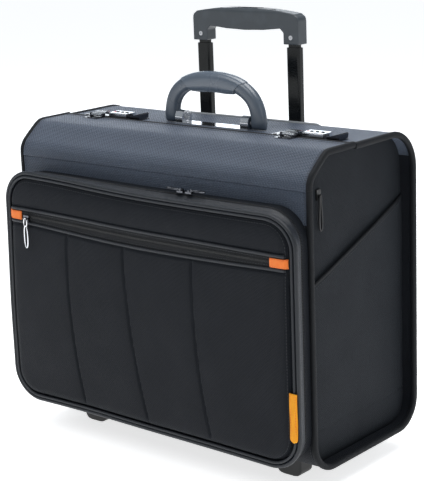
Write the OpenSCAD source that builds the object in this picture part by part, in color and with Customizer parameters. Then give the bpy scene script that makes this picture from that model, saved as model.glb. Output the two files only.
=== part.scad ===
/* [Case] */
// Width over the two end rims
case_w = 460; // [440:5:560]
// Depth of the case body, front wall to rear wall
case_d = 215; // [200:5:260]
// Height of the body from its underside to the rear top
case_h = 374; // [340:5:450]
// Thickness of the covered boards
wall = 4; // [3:0.5:6]
// How far each end panel sits inside its rim
end_recess = 20; // [12:1:30]
// Radius of the two lower corners
low_r = 38; // [20:1:50]
// Radius of the rear top corner
top_r = 48; // [30:1:60]
// Width of the tape on the rims
tape_w = 4; // [3:1:8]
// How far the tape stands out from the board
tape_t = 0.8; // [0.5:0.1:1.5]
// Height of the underside above the ground
ground_gap = 26; // [18:1:36]
// Distance from the rear wall to the inner cover panel
cover_gap = 57; // [52:1:70]
// Distance from the front wall to the padded divider
divider_y = 62; // [40:1:90]
// Height of the padded divider
divider_h = 245; // [150:5:280]

/* [Flap] */
// Drop from the rear top to the seam the flap folds on
flap_drop = 37; // [30:1:50]
// Distance from the front wall to the ridge of the flap
ridge_y = 38; // [30:1:50]
// Distance from the front wall to the rear edge of the flap
flap_edge_y = 88; // [80:1:96]
// How far the ridge stands above the rear top
ridge_rise = 2; // [1.8:0.1:3]

/* [Front pocket] */
// Width of the pocket
pocket_w = 452; // [380:2:454]
// Gap from the flap seam down to the pocket
pocket_gap_top = 18; // [16:1:40]
// Gap from the underside of the body up to the pocket
pocket_gap_low = 14; // [10:1:40]
// Radius of the pocket corners
pocket_r = 42; // [25:1:60]
// Depth of the rear gusset
gusset_rear = 15; // [10:1:30]
// Depth of the front gusset
gusset_front = 12.6; // [8:0.1:20]
// Thickness of the padded front panel
pad_t = 7; // [4:0.5:12]
// Height of the front zip above the underside of the body
zip_z = 261.5; // [200:0.5:280]
// Length of the front zip
zip_l = 391; // [300:1:400]

/* [Trolley] */
// Distance between the two post centres
post_gap = 144; // [110:1:170]
// Distance from the rear wall to the post centres
post_back = 26; // [25:1:30]
// Width of the middle tube
mid_w = 19.5; // [14:0.5:20]
// Depth of the middle tube
mid_d = 11; // [9:0.5:14]
// Wall of every tube
tube_t = 1.2; // [1:0.1:1.6]
// Clearance between tubes on each side
tube_gap = 0.25; // [0.15:0.05:0.4]
// How far the middle tubes stand out as shown
mid_out = 98; // [40:1:150]
// Visible neck of the inner tubes as shown
neck = 4; // [2:1:40]
// Overall width of the grip
grip_w = 168; // [150:1:200]
// Depth of the grip
grip_d = 18; // [16:0.5:24]
// Height of the grip
grip_h = 43; // [36:1:50]

/* [Carry handle] */
// Width over the legs
handle_w = 156; // [140:1:190]
// Height of the arch above its pivot
handle_h = 59; // [50:1:70]
// Thickness of the arch
handle_t = 19; // [14:0.5:20]
// Depth of the arch
handle_d = 15; // [12:0.5:16]
// Radius of the pivot pins
pin_r = 2.9; // [2.4:0.1:3.5]
// Height of the pivots above the rear top
pivot_z = 8; // [7.8:0.1:9]

/* [Locks] */
// Length of a whole lock with its riveted tail
lock_l = 98; // [90:1:110]
// Width of a lock
lock_w = 21; // [18:1:24]
// Distance from a lock to the end rim
lock_end_gap = 26; // [20:1:34]
// Radius of a dial
dial_r = 3.4; // [3:0.1:3.6]

/* [Wheels] */
// Radius of a tyre
tyre_r = 29; // [26:0.5:32]
// Width of a tyre
tyre_w = 22; // [18:1:24]
// Radius of a hub
hub_r = 21; // [17:0.5:23]
// Distance from the centre plane to a wheel
wheel_x = 148; // [120:1:160]
// Radius of an axle
axle_r = 3; // [2.5:0.1:4]
// Clearance between a turning bore and its pin
run_gap = 0.06; // [0.03:0.01:0.1]

/* [Hidden] */
$fn = 48;
half = case_w / 2;
body_x = half - tape_w;
panel_x = half - end_recess;
clear = 0.3;
seam_z = case_h - flap_drop;
roof_z = case_h + ridge_rise;
cover_y = case_d - cover_gap;
post_y = case_d - post_back;
post_x = post_gap / 2;
collar_w = post_gap + 80;
collar_y0 = post_y - 13;
collar_y1 = post_y + 13;
collar_low = case_h - 24;
outer_w = mid_w + 2 * (tube_t + tube_gap);
outer_d = mid_d + 2 * (tube_t + tube_gap);
inner_w = mid_w - 2 * (tube_t + tube_gap);
inner_d = mid_d - 2 * (tube_t + tube_gap);
tube_low = 24;
collar_top = case_h - 7;
mid_top = collar_top + mid_out;
mid_low = tube_low + mid_out + 6;
inner_low = mid_low + 10;
grip_z = mid_top + neck;
handle_y = flap_edge_y + 22;
handle_x = 6;
hinge_z = case_h + pivot_z;
leg_x = handle_w / 2 - handle_t / 2;
ear_x = handle_w / 2 - handle_t - 1;
lock_y = flap_edge_y + 13.5;
lock_x = half - lock_end_gap - lock_l;
plate_t = 1.2;
plate_z = case_h + plate_t;
dial_z = plate_z + dial_r + clear;
house_top = dial_z + dial_r - 1;
dial_step = 8;
dial_w = 3;
dial_pin = 1;
hasp_y = flap_edge_y - 5;
hasp_z = roof_z + 3.2;
pocket_z0 = pocket_gap_low;
pocket_z1 = seam_z - pocket_gap_top;
pocket_x = pocket_w / 2;
panel_y = -gusset_rear - 2.4 - gusset_front;
pad_y = panel_y - pad_t;
track_y = -gusset_rear - 2;
track_t = 1.2;
slider_x = [57, 70];
tyre_z = tyre_r - ground_gap;
wheel_y = case_d - 18;
cup_in = tyre_w / 2 + 2;
cup_t = 5;
cup_r = tyre_r + 4;
foot_x = 161;
slider_h = 5;
front_y = (slider_h - pad_y + track_t + clear - wheel_y - tyre_r) / 2;
fabric = [0.13, 0.14, 0.16];
sheen = [0.27, 0.30, 0.35];
chrome = [0.80, 0.81, 0.83];
plastic = [0.06, 0.06, 0.07];
grey = [0.33, 0.36, 0.41];
orange = [0.95, 0.42, 0.14];

// Case coordinates: Y from the front wall, Z from the underside of the body.
module at_case() {
    translate([0, front_y, ground_gap]) children();
}

// Extrudes a (y, z) outline from x0 to x1.
module along_x(x0, x1) {
    translate([x0, 0, 0]) rotate([90, 0, 90]) linear_extrude(x1 - x0) children();
}

// Extrudes an (x, z) outline from y0 to y1.
module along_y(y0, y1) {
    translate([0, y1, 0]) rotate([90, 0, 0]) linear_extrude(y1 - y0) children();
}

module both_sides() {
    children();
    mirror([1, 0, 0]) children();
}

module corner_cut(y, z, a, r) {
    translate([y, z]) rotate(a) difference() {
        translate([-1, -1]) square(r + 1);
        translate([r, r]) circle(r);
    }
}

// Rectangle from (a0, b0) to (a1, b1) with one radius at its corners.
module round_box(a0, a1, b0, b1, r) {
    difference() {
        translate([a0, b0]) square([a1 - a0, b1 - b0]);
        corner_cut(a0, b0, 0, r);
        corner_cut(a1, b0, 90, r);
        corner_cut(a1, b1, 180, r);
        corner_cut(a0, b1, 270, r);
    }
}

// Side outline of the case, moved in by i.
module case_outline(i) {
    difference() {
        translate([i, i]) square([case_d - 2 * i, case_h - 2 * i]);
        corner_cut(i, i, 0, low_r - i);
        corner_cut(case_d - i, i, 90, low_r - i);
        corner_cut(case_d - i, case_h - i, 180, top_r - i);
    }
}

module case_ring(o, i) {
    difference() {
        case_outline(o);
        case_outline(i);
    }
}

module pocket_outline(i) {
    round_box(-pocket_x + i, pocket_x - i, pocket_z0 + i, pocket_z1 - i, pocket_r - i);
}

module pocket_ring(o, i) {
    difference() {
        pocket_outline(o);
        pocket_outline(i);
    }
}

function unit(v) = v / norm(v);
function side(v) = [v[1], -v[0]];
function leg_in(p, i) = i > 0 ? unit(p[i] - p[i - 1]) : unit(p[1] - p[0]);
function leg_out(p, i) = i < len(p) - 1 ? unit(p[i + 1] - p[i]) : leg_in(p, i);
function mitre(p, i) = side(unit(leg_in(p, i) + leg_out(p, i)));
function moved(p, d) = [
    for (i = [0:len(p) - 1])
        p[i] + d * mitre(p, i) / (mitre(p, i) * side(leg_out(p, i)))];
function backwards(p) = [for (i = [len(p) - 1:-1:0]) p[i]];

// Outer line of the flap, from its seam over the ridge to its rear edge.
flap_line = [
    [0, seam_z],
    [0.8, seam_z + 9],
    [5, seam_z + 16],
    [ridge_y - 9, roof_z - 3.5],
    [ridge_y - 4, roof_z - 0.6],
    [ridge_y + 2, roof_z],
    [flap_edge_y, roof_z]];

module flap_strip(o, i) {
    polygon(concat(moved(flap_line, o), backwards(moved(flap_line, i))));
}

// Tube swept along a path in the XZ plane: the section is an ellipse with soft shoulders.
function ring_pt(c, n, a, w, d) = [
    c[0] + n[0] * w / 2 * shoulder(cos(a)),
    d / 2 * shoulder(sin(a)),
    c[1] + n[1] * w / 2 * shoulder(cos(a))];
function shoulder(s) = sign(s) * pow(abs(s), 0.72);
module swept(path, w, d, sides) {
    n = len(path);
    pts = [
        for (i = [0:n - 1])
            for (k = [0:sides - 1])
                ring_pt(path[i], mitre(path, i), 360 * k / sides, w, d)];
    walls = [
        for (i = [0:n - 2])
            for (k = [0:sides - 1])
                let (a = i * sides + k, b = i * sides + (k + 1) % sides)
                    each [[a, a + sides, b], [b, a + sides, b + sides]]];
    first = [for (k = [0:sides - 1]) k];
    last = [for (k = [sides - 1:-1:0]) (n - 1) * sides + k];
    polyhedron(pts, concat(walls, [first, last]), convexity = 4);
}

module rounded_tube(w, d, z0, z1) {
    translate([0, 0, z0]) linear_extrude(z1 - z0) difference() {
        round_box(-w / 2, w / 2, -d / 2, d / 2, 3);
        round_box(-w / 2 + tube_t, w / 2 - tube_t, -d / 2 + tube_t, d / 2 - tube_t, 3 - tube_t);
    }
}

// ---- case body ----

module front_wall() {
    color(fabric) at_case() translate([-body_x, 0, low_r + 2])
        cube([2 * body_x, wall, seam_z - low_r - 4]);
}

module wheel_slots() {
    for (s = [-1, 1])
        translate([s * wheel_x - cup_in - cup_t, wheel_y - cup_r - cup_t, -10])
            cube([2 * (cup_in + cup_t), 200, low_r + 11]);
}

module bottom_panel() {
    color(fabric) at_case() difference() {
        along_x(-body_x, body_x) intersection() {
            case_ring(0, wall);
            translate([0, -1]) square([case_d, low_r + 3]);
        }
        wheel_slots();
    }
}

module rear_wall() {
    color(fabric) at_case() difference() {
        along_x(-body_x, body_x) intersection() {
            case_ring(0, wall);
            translate([case_d - top_r + 4, low_r + 2]) square([top_r, case_h]);
        }
        wheel_slots();
        translate([-collar_w / 2, collar_y0, collar_low - 5])
            cube([collar_w, collar_y1 - collar_y0, 100]);
    }
}

module rear_top_board() {
    color(sheen) at_case() along_x(-body_x, body_x) polygon([
        [flap_edge_y - 10, case_h - wall - 4],
        [flap_edge_y + 6, case_h - wall],
        [case_d - top_r + 4, case_h - wall],
        [case_d - top_r + 4, case_h],
        [flap_edge_y + 5, case_h],
        [flap_edge_y + 1.5, case_h - 3.8],
        [flap_edge_y - 10, case_h - 3.8]]);
}

module end_panel_shape() {
    difference() {
        case_outline(wall);
        polygon(concat(
            [for (i = [0:len(flap_line) - 2]) moved(flap_line, wall + 0.8)[i]],
            [[flap_edge_y - 10.01, roof_z - wall - 0.8], [flap_edge_y - 10.01, case_h - wall - 4.01],
             [flap_edge_y + 6, case_h - wall - 0.01], [flap_edge_y + 6, case_h + 9],
             [-9, case_h + 9], [-9, seam_z]]));
    }
}

module end_panel() {
    color(fabric) at_case() along_x(panel_x - wall, panel_x) end_panel_shape();
}

module end_panel_right() {
    end_panel();
}

module end_panel_left() {
    mirror([1, 0, 0]) end_panel();
}

module rim_tape() {
    color(plastic) at_case() both_sides() along_x(body_x, half) difference() {
        case_ring(-tape_t, wall + tape_t);
        translate([-9, seam_z - 2]) square([flap_edge_y + 11, 99]);
    }
}

module slip_shape(i) {
    intersection() {
        case_outline(wall + 1 + i);
        polygon([[0, 0], [case_d, 0], [case_d, 292 - i], [0, 211 - i]]);
    }
}

module end_slip_pockets() {
    color(fabric) at_case() both_sides() difference() {
        along_x(panel_x, panel_x + 7.5) slip_shape(0);
        along_x(panel_x - 1, panel_x + 6) intersection() {
            case_outline(wall + 3);
            translate([0, 12]) square([case_d, 400]);
        }
    }
}

module trolley_cover_panel() {
    color(fabric) at_case() difference() {
        translate([-panel_x + wall, cover_y, wall]) cube([2 * (panel_x - wall), 2, case_h - 2 * wall]);
        wheel_slots();
    }
}

module divider() {
    color(fabric) at_case() translate([-panel_x + wall, divider_y - 2, wall])
        cube([2 * (panel_x - wall), 4, divider_h]);
}

module front_feet() {
    color(plastic) at_case() for (s = [-1, 1])
        along_y(low_r, low_r + 24) difference() {
            translate([s * foot_x - 18, -ground_gap]) square([36, ground_gap]);
            corner_cut(s * foot_x - 18, -ground_gap, 0, 9);
            corner_cut(s * foot_x + 18, -ground_gap, 90, 9);
        }
}

module cup_outline(r) {
    translate([wheel_y - r, -8]) square([case_d - 1 - wheel_y + r, r + 8]);
}

module wheel_housings() {
    color(plastic) at_case() for (s = [-1, 1]) difference() {
        along_x(s * wheel_x - cup_in - cup_t, s * wheel_x + cup_in + cup_t) difference() {
            cup_outline(cup_r + cup_t);
            corner_cut(case_d - 1, -8, 90, 15);
        }
        translate([s * wheel_x - cup_in, wheel_y - cup_r, -9])
            cube([2 * cup_in, 99, cup_r + tyre_z + 9]);
        translate([s * wheel_x - 40, wheel_y, tyre_z]) rotate([0, 90, 0]) cylinder(h = 80, r = axle_r);
    }
}

module wheel_axles() {
    color(chrome) at_case() for (s = [-1, 1])
        translate([s * wheel_x - cup_in - cup_t, wheel_y, tyre_z]) rotate([0, 90, 0])
            cylinder(h = 2 * (cup_in + cup_t), r = axle_r);
}

module outer_tubes() {
    color(chrome) at_case() {
        for (s = [-1, 1])
            translate([s * post_x, post_y, 0]) rounded_tube(outer_w, outer_d, tube_low, collar_low);
        along_x(-post_x - 20, post_x + 20) intersection() {
            case_outline(wall);
            translate([post_y - outer_d / 2 - 2, tube_low - 10]) square([case_d, 10]);
        }
    }
}

module post_holes(z) {
    for (s = [-1, 1])
        translate([s * post_x, post_y, z]) linear_extrude(99)
            round_box(-mid_w / 2 - tube_gap, mid_w / 2 + tube_gap,
                -mid_d / 2 - tube_gap, mid_d / 2 + tube_gap, 3 + tube_gap);
}

module trolley_collar() {
    color([0.62, 0.64, 0.66]) at_case() difference() {
        along_x(-collar_w / 2, collar_w / 2) polygon([
            [collar_y0, collar_low],
            [collar_y1, collar_low],
            [collar_y1, collar_top - 5],
            [collar_y1 - 4, collar_top - 1],
            [post_y + mid_d / 2 + 1, collar_top],
            [collar_y0 + 2, case_h + 1.5],
            [collar_y0, case_h + 0.5]]);
        post_holes(collar_low - 1);
    }
}

// ---- carry handle and locks ----

module handle_base_plate() {
    color(chrome) at_case() translate([handle_x - ear_x, handle_y - 10, case_h]) cube([2 * ear_x, 20, 1.6]);
}

module handle_brackets() {
    color(chrome) at_case() translate([handle_x, 0, 0]) both_sides() difference() {
        along_x(ear_x - 12, ear_x) difference() {
            union() {
                translate([handle_y - 9, case_h + 1.6]) square([18, pivot_z - 1.6]);
                translate([handle_y, hinge_z]) circle(9);
            }
            translate([handle_y - 20, case_h - 20]) square([40, 21.6]);
        }
        translate([ear_x - 13, handle_y, hinge_z]) rotate([0, 90, 0]) cylinder(h = 20, r = pin_r);
        translate([ear_x - 13, handle_y, hinge_z]) rotate([0, 90, 0]) cylinder(h = 3, r = 6);
    }
}

module handle_pins() {
    color(chrome) at_case() translate([handle_x, 0, 0]) both_sides()
        translate([ear_x - 11, handle_y, hinge_z]) rotate([0, 90, 0])
        cylinder(h = handle_t + 6, r = pin_r);
}

function arch_pt(a) = [
    leg_x * sign(cos(a)) * pow(abs(cos(a)), 0.90),
    hinge_z + (handle_h - handle_t / 2) * pow(max(sin(a), 0), 0.76)];
arch_line = concat(
    [[-leg_x - 0.8, hinge_z - 3], [-leg_x - 0.4, hinge_z + 5]],
    [for (a = [172:-8:8]) arch_pt(a)],
    [[leg_x + 0.4, hinge_z + 5], [leg_x + 0.8, hinge_z - 3]]);

module arch_solid(w, d) {
    intersection() {
        swept(arch_line, w, d, 20);
        translate([-200, -50, hinge_z - 7.4]) cube([400, 100, 200]);
    }
}

module pin_bores() {
    both_sides() translate([ear_x - 1, 0, hinge_z]) rotate([0, 90, 0])
        cylinder(h = handle_t + 8 - 2.5, r = pin_r + run_gap);
}

module handle_arch() {
    color(grey) at_case() translate([handle_x, handle_y, 0]) difference() {
        union() {
            arch_solid(handle_t, handle_d);
            both_sides() translate([ear_x + 1 + clear, 0, hinge_z]) rotate([0, 90, 0])
                cylinder(h = handle_t - 2 * clear, r = 7.4);
        }
        pin_bores();
        translate([-43, -50, hinge_z + 20]) cube([86, 100, 100]);
    }
}

module handle_grip_sleeve() {
    color(grey) at_case() translate([handle_x, handle_y, 0]) intersection() {
        arch_solid(handle_t, handle_d);
        translate([-43, -50, hinge_z + 20]) cube([86, 100, 100]);
    }
}

module lock_places() {
    translate([lock_x, lock_y, 0]) children();
    translate([-lock_x - lock_l, lock_y, 0]) children();
}

module rivet(x, y, z) {
    translate([x, y, z]) cylinder(h = 0.8, r = 2.2);
}

module lock_plates() {
    color(chrome) at_case() lock_places() {
        translate([0, -lock_w / 2, case_h]) cube([lock_l, lock_w, plate_t]);
        for (x = [4, 12], y = [-1, 1]) rivet(x, y * (lock_w / 2 - 4), plate_z);
    }
}

dial_x0 = 52;
module lock_housings() {
    color(chrome) at_case() lock_places() {
        difference() {
            along_x(dial_x0 - 6, dial_x0 + 2 * dial_step + 8) difference() {
                translate([-lock_w / 2 + 1, plate_z]) square([lock_w - 2, house_top - plate_z]);
                corner_cut(-lock_w / 2 + 1, house_top, 270, 1.5);
                corner_cut(lock_w / 2 - 1, house_top, 180, 1.5);
            }
            for (k = [0:2])
                translate([dial_x0 + k * dial_step - clear, -dial_r - clear, plate_z - 1])
                    cube([dial_w + 2 * clear, 2 * (dial_r + clear), 20]);
        }
        translate([dial_x0 - 2, 0, dial_z]) rotate([0, 90, 0])
            cylinder(h = 2 * dial_step + dial_w + 4, r = dial_pin);
    }
}

module dial(side_k, k) {
    color(plastic) at_case()
        translate([(side_k > 0 ? lock_x : -lock_x - lock_l) + dial_x0 + k * dial_step, lock_y, dial_z])
            rotate([0, 90, 0]) difference() {
                cylinder(h = dial_w, r = dial_r);
                translate([0, 0, -1]) cylinder(h = dial_w + 2, r = dial_pin + run_gap);
                for (a = [0:36:359])
                    rotate(a) translate([dial_r, 0, -1]) cylinder(h = dial_w + 2, r = 0.35, $fn = 4);
            }
}

module dial_left_1() { dial(-1, 0); }
module dial_left_2() { dial(-1, 1); }
module dial_left_3() { dial(-1, 2); }
module dial_right_1() { dial(1, 0); }
module dial_right_2() { dial(1, 1); }
module dial_right_3() { dial(1, 2); }

module lock_button(side_k) {
    color(chrome) at_case()
        translate([(side_k > 0 ? lock_x : -lock_x - lock_l), lock_y, 0])
            along_y(-lock_w / 2 + 1.5, lock_w / 2 - 1.5) polygon([
                [dial_x0 + 2 * dial_step + 12, plate_z + clear],
                [lock_l, plate_z + clear],
                [lock_l + 1, plate_z + 6.4],
                [lock_l - 1, plate_z + 7.4],
                [dial_x0 + 2 * dial_step + 12, plate_z + 2.4]]);
}

module lock_button_left() { lock_button(-1); }
module lock_button_right() { lock_button(1); }

// ---- flap ----

module flap_panel() {
    color(sheen) at_case() along_x(-body_x, body_x) flap_strip(0, wall);
}

module flap_tape() {
    color(plastic) at_case() {
        both_sides() along_x(body_x, half) flap_strip(-tape_t, wall + tape_t);
        translate([-body_x, flap_edge_y, roof_z - wall]) cube([2 * body_x, 1, wall]);
    }
}

hasp_x = 24;
hasp_w = 20;
module hasp_mounts() {
    color(chrome) at_case() lock_places() {
        translate([hasp_x - 2, hasp_y - lock_y - 14, roof_z]) cube([hasp_w + 4, 17, 0.8]);
        for (x = [hasp_x - 2, hasp_x + hasp_w - 1])
            translate([x, hasp_y - lock_y, hasp_z]) rotate([0, 90, 0]) cylinder(h = 3, r = 2.2);
        translate([hasp_x - 2, hasp_y - lock_y, hasp_z]) rotate([0, 90, 0])
            cylinder(h = hasp_w + 4, r = 1);
        for (x = [hasp_x - 2, hasp_x + hasp_w - 1])
            translate([x, hasp_y - lock_y - 2.2, roof_z]) cube([3, 4.4, 3.2]);
        for (x = [hasp_x + 3, hasp_x + hasp_w - 3])
            rivet(x, hasp_y - lock_y - 9, roof_z + 0.8);
    }
}

module hasp(side_k) {
    line = [
        [0, hasp_z + 1.1], [5, hasp_z + 2.6], [10, hasp_z + 3.4], [15, hasp_z + 3],
        [19, hasp_z + 1], [21.5, hasp_z - 2]];
    color(chrome) at_case()
        translate([(side_k > 0 ? lock_x : -lock_x - lock_l), hasp_y, 0]) difference() {
            union() {
                along_x(hasp_x + 1 + clear, hasp_x + hasp_w - 1 - clear) {
                    polygon(concat(line, backwards(moved(line, 1.3))));
                    translate([0, hasp_z]) circle(2.2);
                }
            }
            translate([hasp_x - 1, 0, hasp_z]) rotate([0, 90, 0])
                cylinder(h = hasp_w + 4, r = 1 + run_gap);
        }
}

module hasp_left() { hasp(-1); }
module hasp_right() { hasp(1); }

// ---- front pocket ----

module pocket_rear_gusset() {
    color(fabric) at_case() along_y(-gusset_rear, 0) pocket_ring(0, 2.5);
}

module pocket_zip_track() {
    color(plastic) at_case() along_y(track_y, -gusset_rear) pocket_ring(-0.6, 2.5);
}

module pocket_front_gusset() {
    color(fabric) at_case() along_y(panel_y, panel_y + gusset_front) pocket_ring(0, 2.5);
}

module pocket_front_panel() {
    color(fabric) at_case() along_y(pad_y, panel_y) pocket_outline(3);
}

module pocket_piping() {
    color(plastic) at_case() along_y(panel_y - 4, panel_y) pocket_ring(-1.5, 3);
}

module front_zip_track() {
    color(plastic) at_case() translate([-zip_l / 2, pad_y - track_t, zip_z - 9.5])
        cube([zip_l, track_t, 19]);
}

module orange_tabs() {
    color(orange) at_case() {
        both_sides() translate([zip_l / 2, pad_y - 1.4, zip_z - 6.5])
            cube([pocket_x - 6 - zip_l / 2, 1.4, 13]);
        translate([pocket_x - 12.5, pad_y - 1.2, pocket_z0 + 34]) cube([9, 1.2, 62]);
    }
}

module front_zip_slider() {
    color(chrome) at_case() translate([-zip_l / 2 + 7, 0, zip_z + 2.5]) {
        translate([0, pad_y - track_t - clear - 2.4, -4]) cube([9, 2.4, 8]);
        for (x = [1.4, 6.4])
            translate([x, front_pull_y - 1.1, -1.1]) cube([1.2, pad_y - track_t - clear - 2 - front_pull_y, 2.2]);
    }
}

front_pull_y = pad_y - track_t - clear - 4;
module front_zip_pull() {
    color(chrome) at_case() translate([-zip_l / 2 + 11.5, front_pull_y, zip_z + 2.5]) {
        along_y(-0.8, 0.8) difference() {
            union() {
                round_box(-3.6, 3.6, -38, -2.2, 3.2);
                translate([-1.5, -4]) square([3, 4]);
            }
            round_box(-2.1, 2.1, -36.4, -10, 1.9);
        }
        translate([-1.5, 0, 0]) rotate([0, 90, 0]) cylinder(h = 3, r = 1.1);
    }
}

module pocket_slider(x) {
    color(chrome) at_case() translate([x, track_y + 0.6, pocket_z1 + 0.6 + clear]) {
        translate([-4.5, -3.6, 0]) cube([9, 7.2, 2]);
        for (y = [-3.1, 1.9])
            translate([-1, y, 1.9]) cube([2, 1.2, 2]);
    }
}

module pocket_slider_left() { pocket_slider(slider_x[0]); }
module pocket_slider_right() { pocket_slider(slider_x[1]); }

pull_lift = 3;
module pocket_pull(x, s) {
    color(chrome) at_case() translate([x, track_y + 0.6, pocket_z1 + 0.6 + clear + pull_lift]) {
        translate([0, 0, -0.5]) linear_extrude(1) difference() {
            union() {
                round_box(min(s * 2, s * 23), max(s * 2, s * 23), -3.2, 3.2, 2);
                translate([min(0, s * 4), -1.5]) square([4, 3]);
            }
            translate([s * 18, 0]) circle(1.6);
        }
        translate([0, 1.5, 0]) rotate([90, 0, 0]) cylinder(h = 3, r = 0.85);
    }
}

module pocket_pull_left() { pocket_pull(slider_x[0], -1); }
module pocket_pull_right() { pocket_pull(slider_x[1], 1); }

side_z = seam_z - 14;
module side_zip_slider() {
    color(plastic) at_case() translate([panel_x, 36, side_z - 6]) {
        cube([2.4, 8, 12]);
        translate([2.3, 2.8, 2.3]) cube([2, 2.4, 2.4]);
    }
}

module side_zip_pull() {
    color(plastic) at_case() translate([0, 40, side_z - 2.5]) along_x(panel_x + 2.8, panel_x + 4.6)
        difference() {
            round_box(-3.8, 3.8, -40, 3.4, 3.4);
            round_box(-2.2, 2.2, -38.4, 1.9, 2);
        }
}

// ---- trolley ----

module middle_tubes() {
    color(plastic) at_case() for (s = [-1, 1])
        translate([s * post_x, post_y, 0]) rounded_tube(mid_w, mid_d, mid_low, mid_top);
}

module inner_tubes() {
    color(chrome) at_case() for (s = [-1, 1])
        translate([s * post_x, post_y, 0]) rounded_tube(inner_w, inner_d, inner_low, grip_z + 8);
}

grip_top = [
    for (k = [-10:10])
        [k / 10 * grip_w / 2, grip_z + grip_h - 7 * pow(abs(k / 10), 2.4)]];
module grip_front_shape() {
    difference() {
        polygon(concat([[grip_w / 2, grip_z], [-grip_w / 2, grip_z]], grip_top));
        corner_cut(-grip_w / 2, grip_z + grip_h - 7, 270, 7);
        corner_cut(grip_w / 2, grip_z + grip_h - 7, 180, 7);
        polygon([
            [-post_x + 11, grip_z - 1], [-post_x + 11, grip_z + 14], [-post_x + 16, grip_z + 19],
            [-30, grip_z + 16.4], [0, grip_z + 15.4], [30, grip_z + 16.4],
            [post_x - 16, grip_z + 19], [post_x - 11, grip_z + 14], [post_x - 11, grip_z - 1]]);
    }
}

module trolley_grip() {
    color(grey) at_case() difference() {
        intersection() {
            along_y(post_y - grip_d / 2, post_y + grip_d / 2) grip_front_shape();
            along_x(-grip_w / 2 - 1, grip_w / 2 + 1)
                round_box(post_y - grip_d / 2, post_y + grip_d / 2, grip_z - 9, grip_z + grip_h + 1, 6.5);
        }
        for (s = [-1, 1])
            translate([s * post_x, post_y, grip_z - 1]) linear_extrude(9)
                round_box(-inner_w / 2, inner_w / 2, -inner_d / 2, inner_d / 2, 3);
        translate([0, post_y, grip_z + grip_h - 14]) linear_extrude(40)
            round_box(-43, 43, -5.3, 5.3, 5);
        for (s = [-1, 1])
            translate([s * post_x, post_y - grip_d / 2 - 1, grip_z + 8.5]) rotate([-90, 0, 0])
                cylinder(h = 2.5, r = 3);
    }
}

module grip_button() {
    color(plastic) at_case() difference() {
        translate([0, post_y, grip_z + grip_h - 9]) linear_extrude(8)
            round_box(-42.6, 42.6, -4.9, 4.9, 4.6);
        along_y(post_y - 20, post_y + 20) translate([0, grip_z + grip_h + 88.6]) circle(90.6, $fn = 96);
    }
}

module socket_screws() {
    color(chrome) at_case() for (s = [-1, 1])
        translate([s * post_x, post_y - grip_d / 2 + 0.3, grip_z + 8.5]) rotate([-90, 0, 0]) difference() {
            cylinder(h = 1.2, r = 2.8);
            translate([0, 0, -1]) cylinder(h = 1.7, r = 1.3, $fn = 6);
        }
}

// ---- wheels ----

module wheel_place(s) {
    at_case() translate([s * wheel_x, wheel_y, tyre_z]) rotate([0, 90, 0]) children();
}

module tyre(s) {
    color(plastic) wheel_place(s) rotate_extrude($fn = 96) difference() {
        translate([hub_r, -tyre_w / 2]) square([tyre_r - hub_r, tyre_w]);
        corner_cut(tyre_r, -tyre_w / 2, 90, 4);
        corner_cut(tyre_r, tyre_w / 2, 180, 4);
    }
}

module hub(s) {
    color(grey) wheel_place(s) {
        difference() {
            union() {
                difference() {
                    cylinder(h = tyre_w - 2, r = hub_r, center = true, $fn = 96);
                    for (m = [-1, 1]) translate([0, 0, m * (tyre_w / 2 + 2)])
                        cylinder(h = tyre_w - 4, r = hub_r - 3, center = true, $fn = 96);
                }
                cylinder(h = tyre_w + 2, r = 7, center = true);
            }
            cylinder(h = 60, r = axle_r + run_gap, center = true);
            for (a = [0:60:359]) rotate(a) translate([12.2, 0, 0])
                cylinder(h = 60, r = 3.2, center = true);
        }
    }
}

module tyre_left() { tyre(-1); }
module tyre_right() { tyre(1); }
module hub_left() { hub(-1); }
module hub_right() { hub(1); }

front_wall();
bottom_panel();
rear_wall();
rear_top_board();
end_panel_left();
end_panel_right();
rim_tape();
end_slip_pockets();
trolley_cover_panel();
divider();
front_feet();
wheel_housings();
wheel_axles();
outer_tubes();
trolley_collar();
handle_base_plate();
handle_brackets();
handle_pins();
lock_plates();
lock_housings();
pocket_rear_gusset();
pocket_zip_track();
side_zip_slider();
side_zip_pull();
pocket_front_gusset();
pocket_front_panel();
pocket_piping();
front_zip_track();
orange_tabs();
front_zip_slider();
front_zip_pull();
pocket_slider_left();
pocket_slider_right();
pocket_pull_left();
pocket_pull_right();
flap_panel();
flap_tape();
hasp_mounts();
hasp_left();
hasp_right();
lock_button_left();
lock_button_right();
dial_left_1();
dial_left_2();
dial_left_3();
dial_right_1();
dial_right_2();
dial_right_3();
handle_arch();
handle_grip_sleeve();
middle_tubes();
inner_tubes();
trolley_grip();
grip_button();
socket_screws();
tyre_left();
tyre_right();
hub_left();
hub_right();
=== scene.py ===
"""Looks of a pilot flight case on wheels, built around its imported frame."""

import math

import bmesh
import bpy
import numpy as np
from mathutils import Matrix, Vector


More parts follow.
